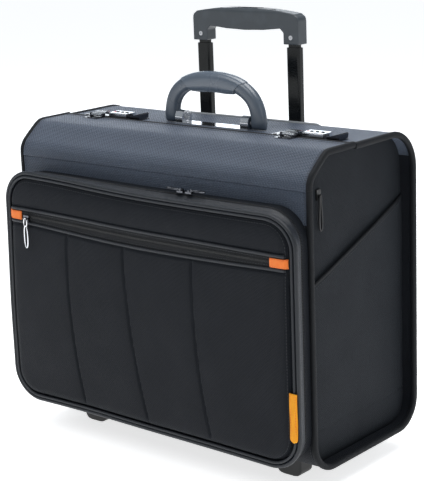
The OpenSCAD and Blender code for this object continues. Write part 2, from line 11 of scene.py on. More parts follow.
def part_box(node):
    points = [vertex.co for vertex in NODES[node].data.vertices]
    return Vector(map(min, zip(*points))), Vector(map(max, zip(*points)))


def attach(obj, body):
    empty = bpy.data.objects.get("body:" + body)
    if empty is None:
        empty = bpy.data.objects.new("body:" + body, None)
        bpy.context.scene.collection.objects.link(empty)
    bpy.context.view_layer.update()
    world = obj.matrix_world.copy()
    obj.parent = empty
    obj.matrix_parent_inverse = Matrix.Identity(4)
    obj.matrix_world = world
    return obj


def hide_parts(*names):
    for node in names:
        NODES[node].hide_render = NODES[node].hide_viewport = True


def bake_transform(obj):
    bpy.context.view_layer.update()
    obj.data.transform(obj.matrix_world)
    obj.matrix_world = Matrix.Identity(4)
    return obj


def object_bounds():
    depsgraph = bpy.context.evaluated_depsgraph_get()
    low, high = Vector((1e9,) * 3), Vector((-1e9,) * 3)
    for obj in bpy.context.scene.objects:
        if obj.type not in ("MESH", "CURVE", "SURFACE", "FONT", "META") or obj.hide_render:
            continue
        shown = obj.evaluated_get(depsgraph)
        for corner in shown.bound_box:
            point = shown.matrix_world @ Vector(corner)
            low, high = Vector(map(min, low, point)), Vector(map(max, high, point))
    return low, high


bl_info = {
    "name": "Pilot flight case",
    "version": (1, 0, 0),
    "blender": (4, 5, 0),
    "location": "3D View > Sidebar > Flight case",
    "description": "Builds the fabric, trim and finish of a rolling pilot case around its frame",
    "category": "Add Mesh",
}

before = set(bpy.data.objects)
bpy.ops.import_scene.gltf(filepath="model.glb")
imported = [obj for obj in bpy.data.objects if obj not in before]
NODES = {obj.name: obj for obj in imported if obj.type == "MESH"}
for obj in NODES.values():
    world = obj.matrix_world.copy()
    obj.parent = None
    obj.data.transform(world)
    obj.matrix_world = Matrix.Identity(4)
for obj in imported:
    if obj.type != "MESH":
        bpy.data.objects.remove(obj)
CAD_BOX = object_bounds()
MM = 0.001


def low(node):
    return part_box(node)[0]


def high(node):
    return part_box(node)[1]


# Case coordinates are millimetres: Y from the front wall, Z from the underside of the body.
FRONT_Y = low("front_wall").y
BODY_Z = low("bottom_panel").z
HALF = high("rim_tape").x / MM
BODY_X = high("front_wall").x / MM
PANEL_X = high("end_panel_right").x / MM
CASE_D = (high("rear_wall").y - FRONT_Y) / MM
CASE_H = (high("rear_top_board").z - BODY_Z) / MM
SEAM_Z = (low("flap_panel").z - BODY_Z) / MM
ROOF_Z = (high("flap_panel").z - BODY_Z) / MM
EDGE_Y = (high("flap_panel").y - FRONT_Y) / MM
WALL = (high("front_wall").y - FRONT_Y) / MM
POCKET_X = high("pocket_front_gusset").x / MM
POCKET_Z0 = (low("pocket_front_gusset").z - BODY_Z) / MM
POCKET_Z1 = (high("pocket_front_gusset").z - BODY_Z) / MM
PANEL_Y = (high("pocket_front_panel").y - FRONT_Y) / MM
PAD_Y = (low("pocket_front_panel").y - FRONT_Y) / MM
TRACK_Y = (low("pocket_zip_track").y - FRONT_Y) / MM
ZIP_Z = ((low("front_zip_track").z + high("front_zip_track").z) / 2 - BODY_Z) / MM
ZIP_X = high("front_zip_track").x / MM
PIVOT_Y = ((low("handle_pins").y + high("handle_pins").y) / 2 - FRONT_Y) / MM
PIVOT_Z = ((low("handle_pins").z + high("handle_pins").z) / 2 - BODY_Z) / MM
HANDLE_X = (low("handle_arch").x + high("handle_arch").x) / 2 / MM
LEG_X = (high("handle_arch").x - low("handle_arch").x) / 2 / MM - 10.3
ARCH_RISE = (high("handle_grip_sleeve").z - BODY_Z) / MM - PIVOT_Z - 9.5
# Bend radii of the wrap at the floor and at the top, and of the pocket's corners.
LOW_R = 38.0
TOP_R = 48.0
POCKET_R = 42.0
# Notches in the wrap for the wheels and the trolley's collar.
WHEEL_X = (130.0, 166.0)
WHEEL_Y = 159.0
WHEEL_Z = 39.0
COLLAR_X = 112.0
COLLAR_Y = (176.0, 202.0)
COLLAR_Z = 340.0
# Longest steps along the wrap's flat walls and its top.
WALL_STEP = 10.0
ROOF_STEP = 5.0
# Height of the slip pocket's slanted hem at the front and at the rear.
SLASH_Z = (211.0, 292.0)
# The camera's angles in degrees, its distance and its target in metres.
CAMERA_TURN = (40.316, 14.014, -2.197)
CAMERA_REACH = 1.871585
CAMERA_TARGET = (0.001769, 0.00875, 0.255581)


class ClothSettings(bpy.types.PropertyGroup):
    """Sizes and colours of the woven parts"""

    thread: bpy.props.FloatProperty(name="Thread pitch", description="Width of one thread of the weave",
                                    default=0.0015, min=0.0004, max=0.003, unit="LENGTH")
    front: bpy.props.FloatVectorProperty(name="Body cloth", description="Colour of the ballistic nylon",
                                         default=(0.0026, 0.0036, 0.0056), subtype="COLOR", size=3)
    # The flap and top use the same nylon as the body, painted lighter and bluer: painted sheen of the overhead light.
    top: bpy.props.FloatVectorProperty(name="Top cloth (painted sheen)", description="Colour of the flap and top: the body cloth painted lighter and bluer as painted sheen",
                                       default=(0.0112, 0.0172, 0.0275), subtype="COLOR", size=3)
    end: bpy.props.FloatVectorProperty(name="End cloth", description="Colour of the recessed end panels",
                                       default=(0.0078, 0.0094, 0.0118), subtype="COLOR", size=3)
    tape: bpy.props.FloatVectorProperty(name="Binding", description="Colour of the ribbed binding tape",
                                        default=(0.0038, 0.0044, 0.0054), subtype="COLOR", size=3)
    tab: bpy.props.FloatVectorProperty(name="Tab cloth", description="Colour of the orange tabs",
                                       default=(1.0, 0.135, 0.026), subtype="COLOR", size=3)
    slack: bpy.props.FloatProperty(name="Slack", description="How far a board's cover stands off in its middle",
                                   default=1.6, min=0.0, max=5.0)
    crown: bpy.props.FloatProperty(name="Pocket crown", description="How far the padded pocket panel swells",
                                   default=4.6, min=0.0, max=8.0)
    flare: bpy.props.FloatProperty(name="Pocket flare", description="How far the filled pocket spreads at its front",
                                   default=7.0, min=0.0, max=12.0)
    sag: bpy.props.FloatProperty(name="Pocket sag", description="How far the pocket's top edge hangs in its middle",
                                 default=3.0, min=0.0, max=6.0)


class TrimSettings(bpy.types.PropertyGroup):
    """Sizes of stitches, zips and binding"""

    stitch: bpy.props.FloatProperty(name="Stitch", description="Length of one stitch",
                                    default=0.0027, min=0.001, max=0.006, unit="LENGTH")
    gap: bpy.props.FloatProperty(name="Stitch pitch", description="Distance from one stitch to the next",
                                 default=0.0038, min=0.0015, max=0.01, unit="LENGTH")
    thread: bpy.props.FloatProperty(name="Stitch thread", description="Radius of the sewing thread",
                                    default=0.00030, min=0.0001, max=0.001, unit="LENGTH")
    tooth: bpy.props.FloatProperty(name="Tooth pitch", description="Distance from one zip tooth to the next",
                                   default=0.0018, min=0.001, max=0.004, unit="LENGTH")
    rib: bpy.props.FloatProperty(name="Binding rib", description="Distance between ribs of the binding, mm",
                                 default=1.9, min=1.0, max=4.0)


class StageSettings(bpy.types.PropertyGroup):
    """Camera and lights"""

    lens: bpy.props.FloatProperty(name="Lens", description="Focal length on a 36 mm sensor", default=111.594)
    key: bpy.props.FloatProperty(name="Top light", description="Power of the overhead softbox", default=30.0)
    room: bpy.props.FloatProperty(name="Room light", description="Strength of the plain surround", default=0.30)
    table: bpy.props.FloatProperty(name="Floor glow", description="Light given off by the pale floor", default=0.72)
    fill: bpy.props.FloatProperty(name="Front light", description="Power of the front softbox", default=17.0)
    rim: bpy.props.FloatProperty(name="End light", description="Power of the softbox at the right end", default=4.0)
    back: bpy.props.FloatProperty(name="Back light", description="Power of the low softbox behind the case",
                                  default=14.0)


def cloth():
    return bpy.context.scene.case_cloth


def trim():
    return bpy.context.scene.case_trim


# ---------------------------------------------------------------- meshes


def place(points):
    """Case millimetres to frame metres."""
    p = np.asarray(points, float).reshape(-1, 3) * MM
    p[:, 1] += FRONT_Y
    p[:, 2] += BODY_Z
    return p


def new_object(name, verts, faces, uvs=None, centre=None):
    mesh = bpy.data.meshes.new(name)
    mesh.from_pydata([tuple(v) for v in place(verts)], [], faces)
    if uvs is not None:
        layer = mesh.uv_layers.new(name="cloth")
        layer.data.foreach_set("uv", (np.asarray(uvs, float) * MM).ravel())
    mesh.validate()
    mesh.update()
    obj = bpy.data.objects.new(name, mesh)
    bpy.context.scene.collection.objects.link(obj)
    bm = bmesh.new()
    bm.from_mesh(mesh)
    if centre is None:
        bmesh.ops.recalc_face_normals(bm, faces=bm.faces)
    else:
        c = Vector(place([centre])[0])
        bm.normal_update()
        side = sum((f.calc_center_median() - c).normalized().dot(f.normal) * f.calc_area() for f in bm.faces)
        if side < 0:
            bmesh.ops.reverse_faces(bm, faces=bm.faces)
    bm.to_mesh(mesh)
    bm.free()
    mesh.polygons.foreach_set("use_smooth", [True] * len(mesh.polygons))
    return obj


def lengths(points, wrap):
    """Running length along the first axis of a grid of points."""
    step = np.linalg.norm(np.diff(points, axis=0), axis=2).mean(1)
    run = np.concatenate([[0], np.cumsum(step)])
    if wrap:
        run = np.append(run, run[-1] + np.linalg.norm(points[0] - points[-1], axis=1).mean())
    return run


def grid(name, points, wrap_a=False, wrap_b=False, cap=False, keep=None, centre=None, uv_plane=None):
    """Quads over a grid of points with a cloth UV in real lengths."""
    p = np.asarray(points, float)
    n, m = p.shape[:2]
    run_a = lengths(p, wrap_a)
    run_b = lengths(p.transpose(1, 0, 2), wrap_b)
    faces, uvs = [], []
    for i in range(n if wrap_a else n - 1):
        for j in range(m if wrap_b else m - 1):
            quad = [(i, j), (i + 1, j), (i + 1, j + 1), (i, j + 1)]
            ids = [(a % n) * m + b % m for a, b in quad]
            if keep is not None and not keep(p.reshape(-1, 3)[ids].mean(0)):
                continue
            faces.append(ids)
            if uv_plane:
                uvs += [tuple(p[a % n, b % m][list(uv_plane)]) for a, b in quad]
            else:
                uvs += [(run_b[b], run_a[a]) for a, b in quad]
    if cap:
        for i in (0, n - 1):
            ring = [i * m + j for j in range(m)]
            faces.append(ring if i else ring[::-1])
            uvs += [tuple(p[i, j][:2]) for j in range(m)]
    return new_object(name, p.reshape(-1, 3), faces, uvs, centre)


def sweep(name, path, side, up, section, closed=False):
    """A section of (side, up) offsets carried along a path."""
    path, side, up = (np.asarray(x, float) for x in (path, side, up))
    section = np.asarray(section, float)
    if section.ndim == 2:
        section = np.repeat(section[None], len(path), 0)
    p = path[:, None] + section[..., :1] * side[:, None] + section[..., 1:] * up[:, None]
    return grid(name, p, wrap_a=closed, wrap_b=True, cap=not closed)


def oval(a, b, count=14, power=1.0):
    t = np.linspace(0, 2 * math.pi, count, endpoint=False)
    c, s = np.cos(t), np.sin(t)
    return np.stack([a * np.sign(c) * np.abs(c) ** power, b * np.sign(s) * np.abs(s) ** power], 1)


def baked(obj):
    """Applies the live modifiers of an object to its mesh."""
    graph = bpy.context.evaluated_depsgraph_get()
    mesh = bpy.data.meshes.new_from_object(obj.evaluated_get(graph))
    obj.modifiers.clear()
    obj.data = mesh
    return obj


def thicken(obj, thickness, inner=0):
    mod = obj.modifiers.new("wall", "SOLIDIFY")
    mod.thickness = thickness * MM
    mod.offset = -1.0
    mod.use_even_offset = True
    mod.use_quality_normals = True
    mod.material_offset = inner
    return baked(obj)


def joined(name, parts):
    """One object from several that were just made."""
    bpy.ops.object.select_all(action="DESELECT")
    for o in parts:
        o.select_set(True)
    bpy.context.view_layer.objects.active = parts[0]
    if len(parts) > 1:
        bpy.ops.object.join()
    parts[0].name = name
    return parts[0]


def dress(obj, *mats):
    obj.data.materials.clear()
    for m in mats:
        obj.data.materials.append(m)
    return obj


def settle(obj, body, slot, *nodes):
    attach(obj, body)
    if nodes:
        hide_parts(*nodes)
    return obj


def wave(a, b):
    """A slow, fixed unevenness for cloth over board, between -1 and 1."""
    return (0.5 * np.sin(a / 31 + b / 47 + 0.6) + 0.3 * np.sin(a / 17 - b / 23 + 2.1)
            + 0.2 * np.sin(a / 9.5 + b / 13 + 4))


def spaced(breaks, step):
    """Positions that include every break and are at most a step apart."""
    out = [breaks[0]]
    for a, b in zip(breaks, breaks[1:]):
        k = max(1, int(math.ceil((b - a) / step - 1e-6)))
        out += [a + (b - a) * i / k for i in range(1, k + 1)]
    return np.array(out)


def side_profile():
    """(y, z) line of the wrap from the flap seam down, under and up to the flap's rear edge, with normals."""
    d, h, r, t = CASE_D, CASE_H, LOW_R, TOP_R
    quarter = np.linspace(0, math.pi / 2, 13)[1:]
    line = [(0, z) for z in spaced([r, SEAM_Z], WALL_STEP)[::-1]]
    line += [(r - r * math.cos(a), r - r * math.sin(a)) for a in quarter]
    line += [(y, 0) for y in spaced([r, WHEEL_Y, d - r], WALL_STEP)[1:]]
    line += [(d - r + r * math.sin(a), r - r * math.cos(a)) for a in quarter]
    line += [(d, z) for z in spaced([r, WHEEL_Z, h - t], WALL_STEP)[1:]]
    stops = sorted(set([0.0, math.pi / 2] + [math.acos(min(1, (y - d + t) / t)) for y in COLLAR_Y]))
    line += [(d - t + t * math.cos(a), h - t + t * math.sin(a)) for a in spaced(stops, 0.12)[1:]]
    line += [(y, h) for y in spaced([EDGE_Y + 6, d - t], ROOF_STEP)[::-1][1:]]
    p = np.array(line, float)
    tangent = np.gradient(p, axis=0)
    tangent /= np.linalg.norm(tangent, axis=1)[:, None]
    return p, np.stack([tangent[:, 1], -tangent[:, 0]], 1)


def pocket_line(inset, step=4.0):
    """Closed (x, z) outline of the pocket moved in, with outward normals."""
    hx, z0, z1, r = POCKET_X - inset, POCKET_Z0 + inset, POCKET_Z1 - inset, POCKET_R - inset
    pts, out = [], []

    def arc(cx, cz, a0):
        for a in np.linspace(a0, a0 + math.pi / 2, 15):
            pts.append((cx + r * math.cos(a), cz + r * math.sin(a)))
            out.append((math.cos(a), math.sin(a)))

    def run(a, b, normal):
        k = int(max(abs(b[0] - a[0]), abs(b[1] - a[1])) / step)
        for i in range(1, k):
            pts.append((a[0] + (b[0] - a[0]) * i / k, a[1] + (b[1] - a[1]) * i / k))
            out.append(normal)

    arc(hx - r, z1 - r, 0)
    run((hx - r, z1), (-hx + r, z1), (0, 1))
    arc(-hx + r, z1 - r, math.pi / 2)
    run((-hx, z1 - r), (-hx, z0 + r), (-1, 0))
    arc(-hx + r, z0 + r, math.pi)
    run((-hx + r, z0), (hx - r, z0), (0, -1))
    arc(hx - r, z0 + r, math.pi * 1.5)
    run((hx, z0 + r), (hx, z1 - r), (1, 0))
    return np.array(pts), np.array(out)


def soften_pocket(p):
    """Lets the filled pocket flare towards its front, and its edges and zip hang a little out of true."""
    p = np.array(p, float)
    x, y, z = p[..., 0].copy(), p[..., 1], p[..., 2].copy()
    c = cloth()
    ahead = 0.2 + 0.8 * np.clip((-y - 15) / 12, 0, 1)
    full = np.clip((300 - z) / 190, 0, 1)
    flare = np.where(x < 0, 0.35 * c.flare + 0.75 * c.flare * full * full * (3 - 2 * full), c.flare)
    p[..., 0] = x * (1 + flare * ahead / POCKET_X * np.abs(x / POCKET_X))
    span = 1 - np.clip(np.abs(x) / POCKET_X, 0, 1) ** 2
    upper = np.clip((z - ZIP_Z) / (POCKET_Z1 - ZIP_Z), 0, 1.1)
    lower = np.clip((ZIP_Z - z) / (ZIP_Z - POCKET_Z0), 0, 1.1)
    top = -0.33 * c.sag - 1.55 * c.sag * np.tanh((x + 85) / 85)
    middle = 0.66 * c.sag - 1.0 * c.sag * np.tanh((x + 90) / 90)
    base = 0.5 * c.sag * (1 - np.tanh((x + 60) / 60)) + 1.1 * c.sag * span
    p[..., 2] = z + ahead * (top * upper + middle * (1 - upper) * (1 - lower) + base * lower ** 1.5)
    return p


def pocket_inside(x, z):
    """Distance from the pocket's outline, inwards."""
    cz, hz = (POCKET_Z0 + POCKET_Z1) / 2, (POCKET_Z1 - POCKET_Z0) / 2
    qx, qz = np.abs(x) - (POCKET_X - POCKET_R), np.abs(z - cz) - (hz - POCKET_R)
    return POCKET_R - np.hypot(np.maximum(qx, 0), np.maximum(qz, 0)) - np.minimum(np.maximum(qx, qz), 0)


# ---------------------------------------------------------------- shader groups


def group(name, inputs, outputs):
    tree = bpy.data.node_groups.new(name, "ShaderNodeTree")
    for label, kind, value in inputs:
        socket = tree.interface.new_socket(label, in_out="INPUT", socket_type=kind)
        if value is not None:
            socket.default_value = value
    for label, kind in outputs:
        tree.interface.new_socket(label, in_out="OUTPUT", socket_type=kind)
    return tree, tree.nodes.new("NodeGroupInput"), tree.nodes.new("NodeGroupOutput")


def maths(tree, kind, a, b=None, c=None):
    node = tree.nodes.new("ShaderNodeMath")
    node.operation = kind
    for i, v in enumerate((a, b, c)):
        if v is None:
            continue
        if isinstance(v, (int, float)):
            node.inputs[i].default_value = v
        else:
            tree.links.new(v, node.inputs[i])
    return node.outputs[0]


def weave_group():
    """Plain weave: threads pass over and under each other."""
    tree, gi, go = group("Woven threads",
                         [("Vector", "NodeSocketVector", None), ("Pitch", "NodeSocketFloat", 0.001)],
                         [("Height", "NodeSocketFloat"), ("Tone", "NodeSocketFloat")])
    sep = tree.nodes.new("ShaderNodeSeparateXYZ")
    tree.links.new(gi.outputs["Vector"], sep.inputs[0])
    u = maths(tree, "DIVIDE", sep.outputs[0], gi.outputs["Pitch"])
    v = maths(tree, "DIVIDE", sep.outputs[1], gi.outputs["Pitch"])
    warp = maths(tree, "ABSOLUTE", maths(tree, "SINE", maths(tree, "MULTIPLY", u, math.pi)))
    weft = maths(tree, "ABSOLUTE", maths(tree, "SINE", maths(tree, "MULTIPLY", v, math.pi)))
    cell = maths(tree, "ADD", maths(tree, "FLOOR", u), maths(tree, "FLOOR", v))
    check = maths(tree, "MODULO", maths(tree, "ABSOLUTE", cell), 2.0)
    over = maths(tree, "MULTIPLY", warp, maths(tree, "MULTIPLY_ADD", weft, 0.45, 0.55))
    under = maths(tree, "MULTIPLY", weft, maths(tree, "MULTIPLY_ADD", warp, 0.45, 0.55))
    mix = tree.nodes.new("ShaderNodeMix")
    tree.links.new(check, mix.inputs[0])
    tree.links.new(over, mix.inputs[2])
    tree.links.new(under, mix.inputs[3])
    tree.links.new(mix.outputs[0], go.inputs["Height"])
    noise = tree.nodes.new("ShaderNodeTexNoise")
    noise.inputs["Scale"].default_value = 210.0
    noise.inputs["Detail"].default_value = 3.0
    tree.links.new(gi.outputs["Vector"], noise.inputs["Vector"])
    tone = maths(tree, "ADD", maths(tree, "MULTIPLY", noise.outputs[0], 0.5),
                 maths(tree, "MULTIPLY", mix.outputs[0], 0.5))
    tree.links.new(tone, go.inputs["Tone"])
    return tree


def grain_group():
    """Fine moulded grain with slow blotches."""
    tree, gi, go = group("Moulded grain",
                         [("Vector", "NodeSocketVector", None), ("Scale", "NodeSocketFloat", 900.0)],
                         [("Height", "NodeSocketFloat"), ("Blotch", "NodeSocketFloat")])
    for scale, out, detail in ((1.0, "Height", 2.0), (0.035, "Blotch", 4.0)):
        noise = tree.nodes.new("ShaderNodeTexNoise")
        noise.inputs["Detail"].default_value = detail
        tree.links.new(gi.outputs["Vector"], noise.inputs["Vector"])
        tree.links.new(maths(tree, "MULTIPLY", gi.outputs["Scale"], scale), noise.inputs["Scale"])
        tree.links.new(noise.outputs[0], go.inputs[out])
    return tree


def wear_group():
    """Rubbed patches and fine scratches."""
    tree, gi, go = group("Rubbed wear",
                         [("Vector", "NodeSocketVector", None), ("Amount", "NodeSocketFloat", 0.3)],
                         [("Mask", "NodeSocketFloat"), ("Scratch", "NodeSocketFloat")])
    noise = tree.nodes.new("ShaderNodeTexNoise")
    noise.inputs["Scale"].default_value = 55.0
    noise.inputs["Detail"].default_value = 5.0
    tree.links.new(gi.outputs["Vector"], noise.inputs["Vector"])
    mask = maths(tree, "SUBTRACT", noise.outputs[0], 0.5)
    mask = maths(tree, "MULTIPLY", maths(tree, "MAXIMUM", mask, 0.0), 3.0)
    tree.links.new(maths(tree, "MULTIPLY", mask, gi.outputs["Amount"]), go.inputs["Mask"])
    stretch = tree.nodes.new("ShaderNodeMapping")
    stretch.inputs["Scale"].default_value = (90.0, 700.0, 700.0)
    stretch.inputs["Rotation"].default_value = (0.4, 0.3, 0.5)
    tree.links.new(gi.outputs["Vector"], stretch.inputs["Vector"])
    lines = tree.nodes.new("ShaderNodeTexNoise")
    lines.inputs["Scale"].default_value = 1.0
    lines.inputs["Detail"].default_value = 2.0
    tree.links.new(stretch.outputs[0], lines.inputs["Vector"])
    tree.links.new(lines.outputs[0], go.inputs["Scratch"])
    return tree


def dust_group():
    """Dust that settles on faces turned upwards."""
    tree, gi, go = group("Settled dust", [("Vector", "NodeSocketVector", None), ("Amount", "NodeSocketFloat", 0.1)],
                         [("Mask", "NodeSocketFloat")])
    geo = tree.nodes.new("ShaderNodeNewGeometry")
    sep = tree.nodes.new("ShaderNodeSeparateXYZ")
    tree.links.new(geo.outputs["Normal"], sep.inputs[0])
    noise = tree.nodes.new("ShaderNodeTexNoise")
    noise.inputs["Scale"].default_value = 38.0
    noise.inputs["Detail"].default_value = 6.0
    tree.links.new(gi.outputs["Vector"], noise.inputs["Vector"])
    up = maths(tree, "MAXIMUM", sep.outputs[2], 0.0)
    patchy = maths(tree, "MULTIPLY", up, noise.outputs[0])
    tree.links.new(maths(tree, "MULTIPLY", patchy, gi.outputs["Amount"]), go.inputs["Mask"])
    return tree


GROUPS = {}
MATS = {}


class Finish:
    """A Principled material with helpers that add nodes to it."""

    def __init__(self, name, colour, rough, metal=0.0, uv=False, plane=None, **sockets):
        self.mat = bpy.data.materials.new(name)
        self.mat.use_nodes = True
        self.tree = self.mat.node_tree
        self.nodes, self.links = self.tree.nodes, self.tree.links
        self.bsdf = self.nodes["Principled BSDF"]
        self.bsdf.inputs["Base Color"].default_value = (*colour, 1)
        self.bsdf.inputs["Roughness"].default_value = rough
        self.bsdf.inputs["Metallic"].default_value = metal
        for key, value in sockets.items():
            self.bsdf.inputs[key.replace("_", " ")].default_value = value
        self.colour, self.rough = colour, rough
        if uv:
            node = self.nodes.new("ShaderNodeUVMap")
            node.uv_map = "cloth"
            self.vector = node.outputs[0]
        else:
            self.vector = self.nodes.new("ShaderNodeTexCoord").outputs["Object"]
            if plane:
                sep, com = self.nodes.new("ShaderNodeSeparateXYZ"), self.nodes.new("ShaderNodeCombineXYZ")
                self.links.new(self.vector, sep.inputs[0])
                self.links.new(sep.outputs[plane[0]], com.inputs[0])
                self.links.new(sep.outputs[plane[1]], com.inputs[1])
                self.vector = com.outputs[0]
        self.object = self.nodes.new("ShaderNodeTexCoord").outputs["Object"]
        self.base = None
        self.normal = None
        MATS[name] = self.mat

    def use(self, name, vector=None, **values):
        node = self.nodes.new("ShaderNodeGroup")
        node.node_tree = GROUPS[name]
        self.links.new(vector or self.vector, node.inputs["Vector"])
        for key, value in values.items():
            node.inputs[key].default_value = value
        return node

    def tint(self, fac, other):
        """Mixes another colour over the base by a mask."""
        mix = self.nodes.new("ShaderNodeMix")
        mix.data_type = "RGBA"
        self.links.new(fac, mix.inputs[0])
        if self.base is None:
            mix.inputs[6].default_value = (*self.colour, 1)
        else:
            self.links.new(self.base, mix.inputs[6])
        mix.inputs[7].default_value = (*other, 1)
        self.base = mix.outputs[2]
        self.links.new(self.base, self.bsdf.inputs["Base Color"])
        return self

    def roughen(self, fac, amount):
        out = maths(self.tree, "MULTIPLY_ADD", fac, amount, self.rough - amount / 2)
        self.links.new(out, self.bsdf.inputs["Roughness"])
        return self

    def bump(self, height, strength, distance):
        node = self.nodes.new("ShaderNodeBump")
        node.inputs["Strength"].default_value = strength
        node.inputs["Distance"].default_value = distance
        self.links.new(height, node.inputs["Height"])
        if self.normal is not None:
            self.links.new(self.normal, node.inputs["Normal"])
        self.normal = node.outputs[0]
        self.links.new(self.normal, self.bsdf.inputs["Normal"])
        return self


def lighter(colour, k):
    return tuple(min(1.0, c * k) for c in colour)


def woven(name, colour, pitch=None, rough=0.62, bump=1.0, dust=0.03, uv=True, plane=None, sheen=0.02,
          spec=0.19, contrast=2.8, **more):
    pitch = pitch or cloth().thread
    f = Finish(name, colour, rough, uv=uv, plane=plane, Sheen_Weight=sheen, Sheen_Roughness=0.45,
               Sheen_Tint=(0.72, 0.80, 1.0, 1.0), Specular_IOR_Level=spec, **more)
    weave = f.use("Woven threads", Pitch=pitch)
    grain = f.use("Moulded grain", vector=f.object, Scale=700.0)
    f.tint(weave.outputs["Tone"], lighter(colour, contrast))
    f.tint(maths(f.tree, "MULTIPLY", grain.outputs["Blotch"], 0.35), lighter(colour, 0.55))
    f.tint(f.use("Settled dust", vector=f.object, Amount=dust).outputs["Mask"], (0.13, 0.15, 0.18))
    f.roughen(grain.outputs["Blotch"], 0.16)
    f.bump(weave.outputs["Height"], bump, pitch * 0.34)
    f.bump(grain.outputs["Height"], 0.12, 0.0003)
    return f.mat


def moulded(name, colour, rough, grain=900.0, bump=0.12, wear=0.25, dust=0.06, **more):
    f = Finish(name, colour, rough, **more)
    g = f.use("Moulded grain", Scale=grain)
    w = f.use("Rubbed wear", Amount=wear)
    f.tint(w.outputs["Mask"], lighter(colour, 2.4))
    f.tint(f.use("Settled dust", Amount=dust).outputs["Mask"], (0.20, 0.20, 0.20))
    f.roughen(g.outputs["Blotch"], 0.22)
    f.bump(g.outputs["Height"], bump, 0.0002)
    return f.mat


def metal(name, colour, rough, scratch=0.10, wear=0.2, **more):
    f = Finish(name, colour, rough, metal=1.0, **more)
    w = f.use("Rubbed wear", Amount=wear)
    g = f.use("Moulded grain", Scale=420.0)
    f.tint(w.outputs["Mask"], lighter(colour, 0.45))
    scratch_part = maths(f.tree, "MULTIPLY", w.outputs["Scratch"], 0.6)
    blotch_part = maths(f.tree, "MULTIPLY", g.outputs["Blotch"], 0.4)
    f.roughen(maths(f.tree, "ADD", scratch_part, blotch_part), 0.20)
    f.bump(w.outputs["Scratch"], scratch, 0.0001)
    return f.mat


def make_materials():
    c = cloth()
    for make, name in ((weave_group, "Woven threads"), (grain_group, "Moulded grain"),
                       (wear_group, "Rubbed wear"), (dust_group, "Settled dust")):
        GROUPS[name] = make()
    woven("body cloth", tuple(c.front))
    # Painted sheen: the body's nylon painted lighter and bluer where the overhead light glances on the flap and top.
    woven("sheen-painted top cloth", tuple(c.top), pitch=0.0021, dust=0.03, sheen=0.34, rough=0.46,
          spec=0.5, contrast=4.4)
    woven("end cloth", tuple(c.end), rough=0.7)
    woven("binding tape", tuple(c.tape), pitch=0.0009, rough=0.6, bump=0.5)
    woven("piping cloth", lighter(tuple(c.top), 0.24), pitch=0.0008, rough=0.42, sheen=0.05, spec=0.45, bump=0.45)
    woven("zip tape", (0.0080, 0.0085, 0.0095), pitch=0.0007, rough=0.7)
    woven("tab cloth", tuple(c.tab), pitch=0.0008, rough=0.7, dust=0.0, sheen=0.1)
    woven("tag cloth", (1.0, 0.215, 0.006), pitch=0.0008, rough=0.6, dust=0.0, sheen=0.1)
    woven("lining", (0.030, 0.032, 0.036), pitch=0.0006, rough=0.55, bump=0.3)
    woven("lining board", (0.030, 0.032, 0.036), pitch=0.0006, rough=0.55, bump=0.3, uv=False, plane=(0, 2))
    moulded("sewing thread", (0.030, 0.033, 0.038), 0.5, wear=0.1)
    moulded("tab thread", (0.72, 0.10, 0.02), 0.5, wear=0.1)
    moulded("zip coil", (0.012, 0.013, 0.014), 0.32, wear=0.1)
    moulded("black plastic", (0.010, 0.0105, 0.011), 0.42, bump=0.25)
    moulded("grip plastic", (0.043, 0.052, 0.061), 0.34, grain=1100, bump=0.2)
    moulded("button plastic", (0.006, 0.006, 0.0065), 0.3, bump=0.1)
    moulded("collar plastic", (0.23, 0.245, 0.26), 0.4, bump=0.12)
    moulded("handle skin", (0.072, 0.092, 0.120), 0.27, Specular_IOR_Level=0.8, grain=760, bump=0.35,
            wear=0.12, dust=0.10)
    moulded("sleeve skin", (0.088, 0.112, 0.146), 0.26, Specular_IOR_Level=0.8, grain=620, bump=0.4,
            wear=0.12, dust=0.10)
    moulded("tyre rubber", (0.016, 0.016, 0.016), 0.72, grain=500, bump=0.4, wear=0.4, dust=0.2)
    moulded("hub plastic", (0.060, 0.062, 0.066), 0.45)
    moulded("cord", (0.010, 0.010, 0.011), 0.35, wear=0.1)
    moulded("dial plastic", (0.012, 0.012, 0.012), 0.35)
    moulded("red mark", (0.62, 0.02, 0.02), 0.4, wear=0.0)
    metal("chrome", (0.86, 0.87, 0.89), 0.14)
    metal("smoked steel", (0.13, 0.135, 0.15), 0.16)
    metal("brushed steel", (0.55, 0.56, 0.58), 0.34, scratch=0.2)
    metal("black tube", (0.016, 0.017, 0.017), 0.26, scratch=0.25, wear=0.5,
          Coat_Weight=0.3, Coat_Roughness=0.12)


# ---------------------------------------------------------------- geometry nodes


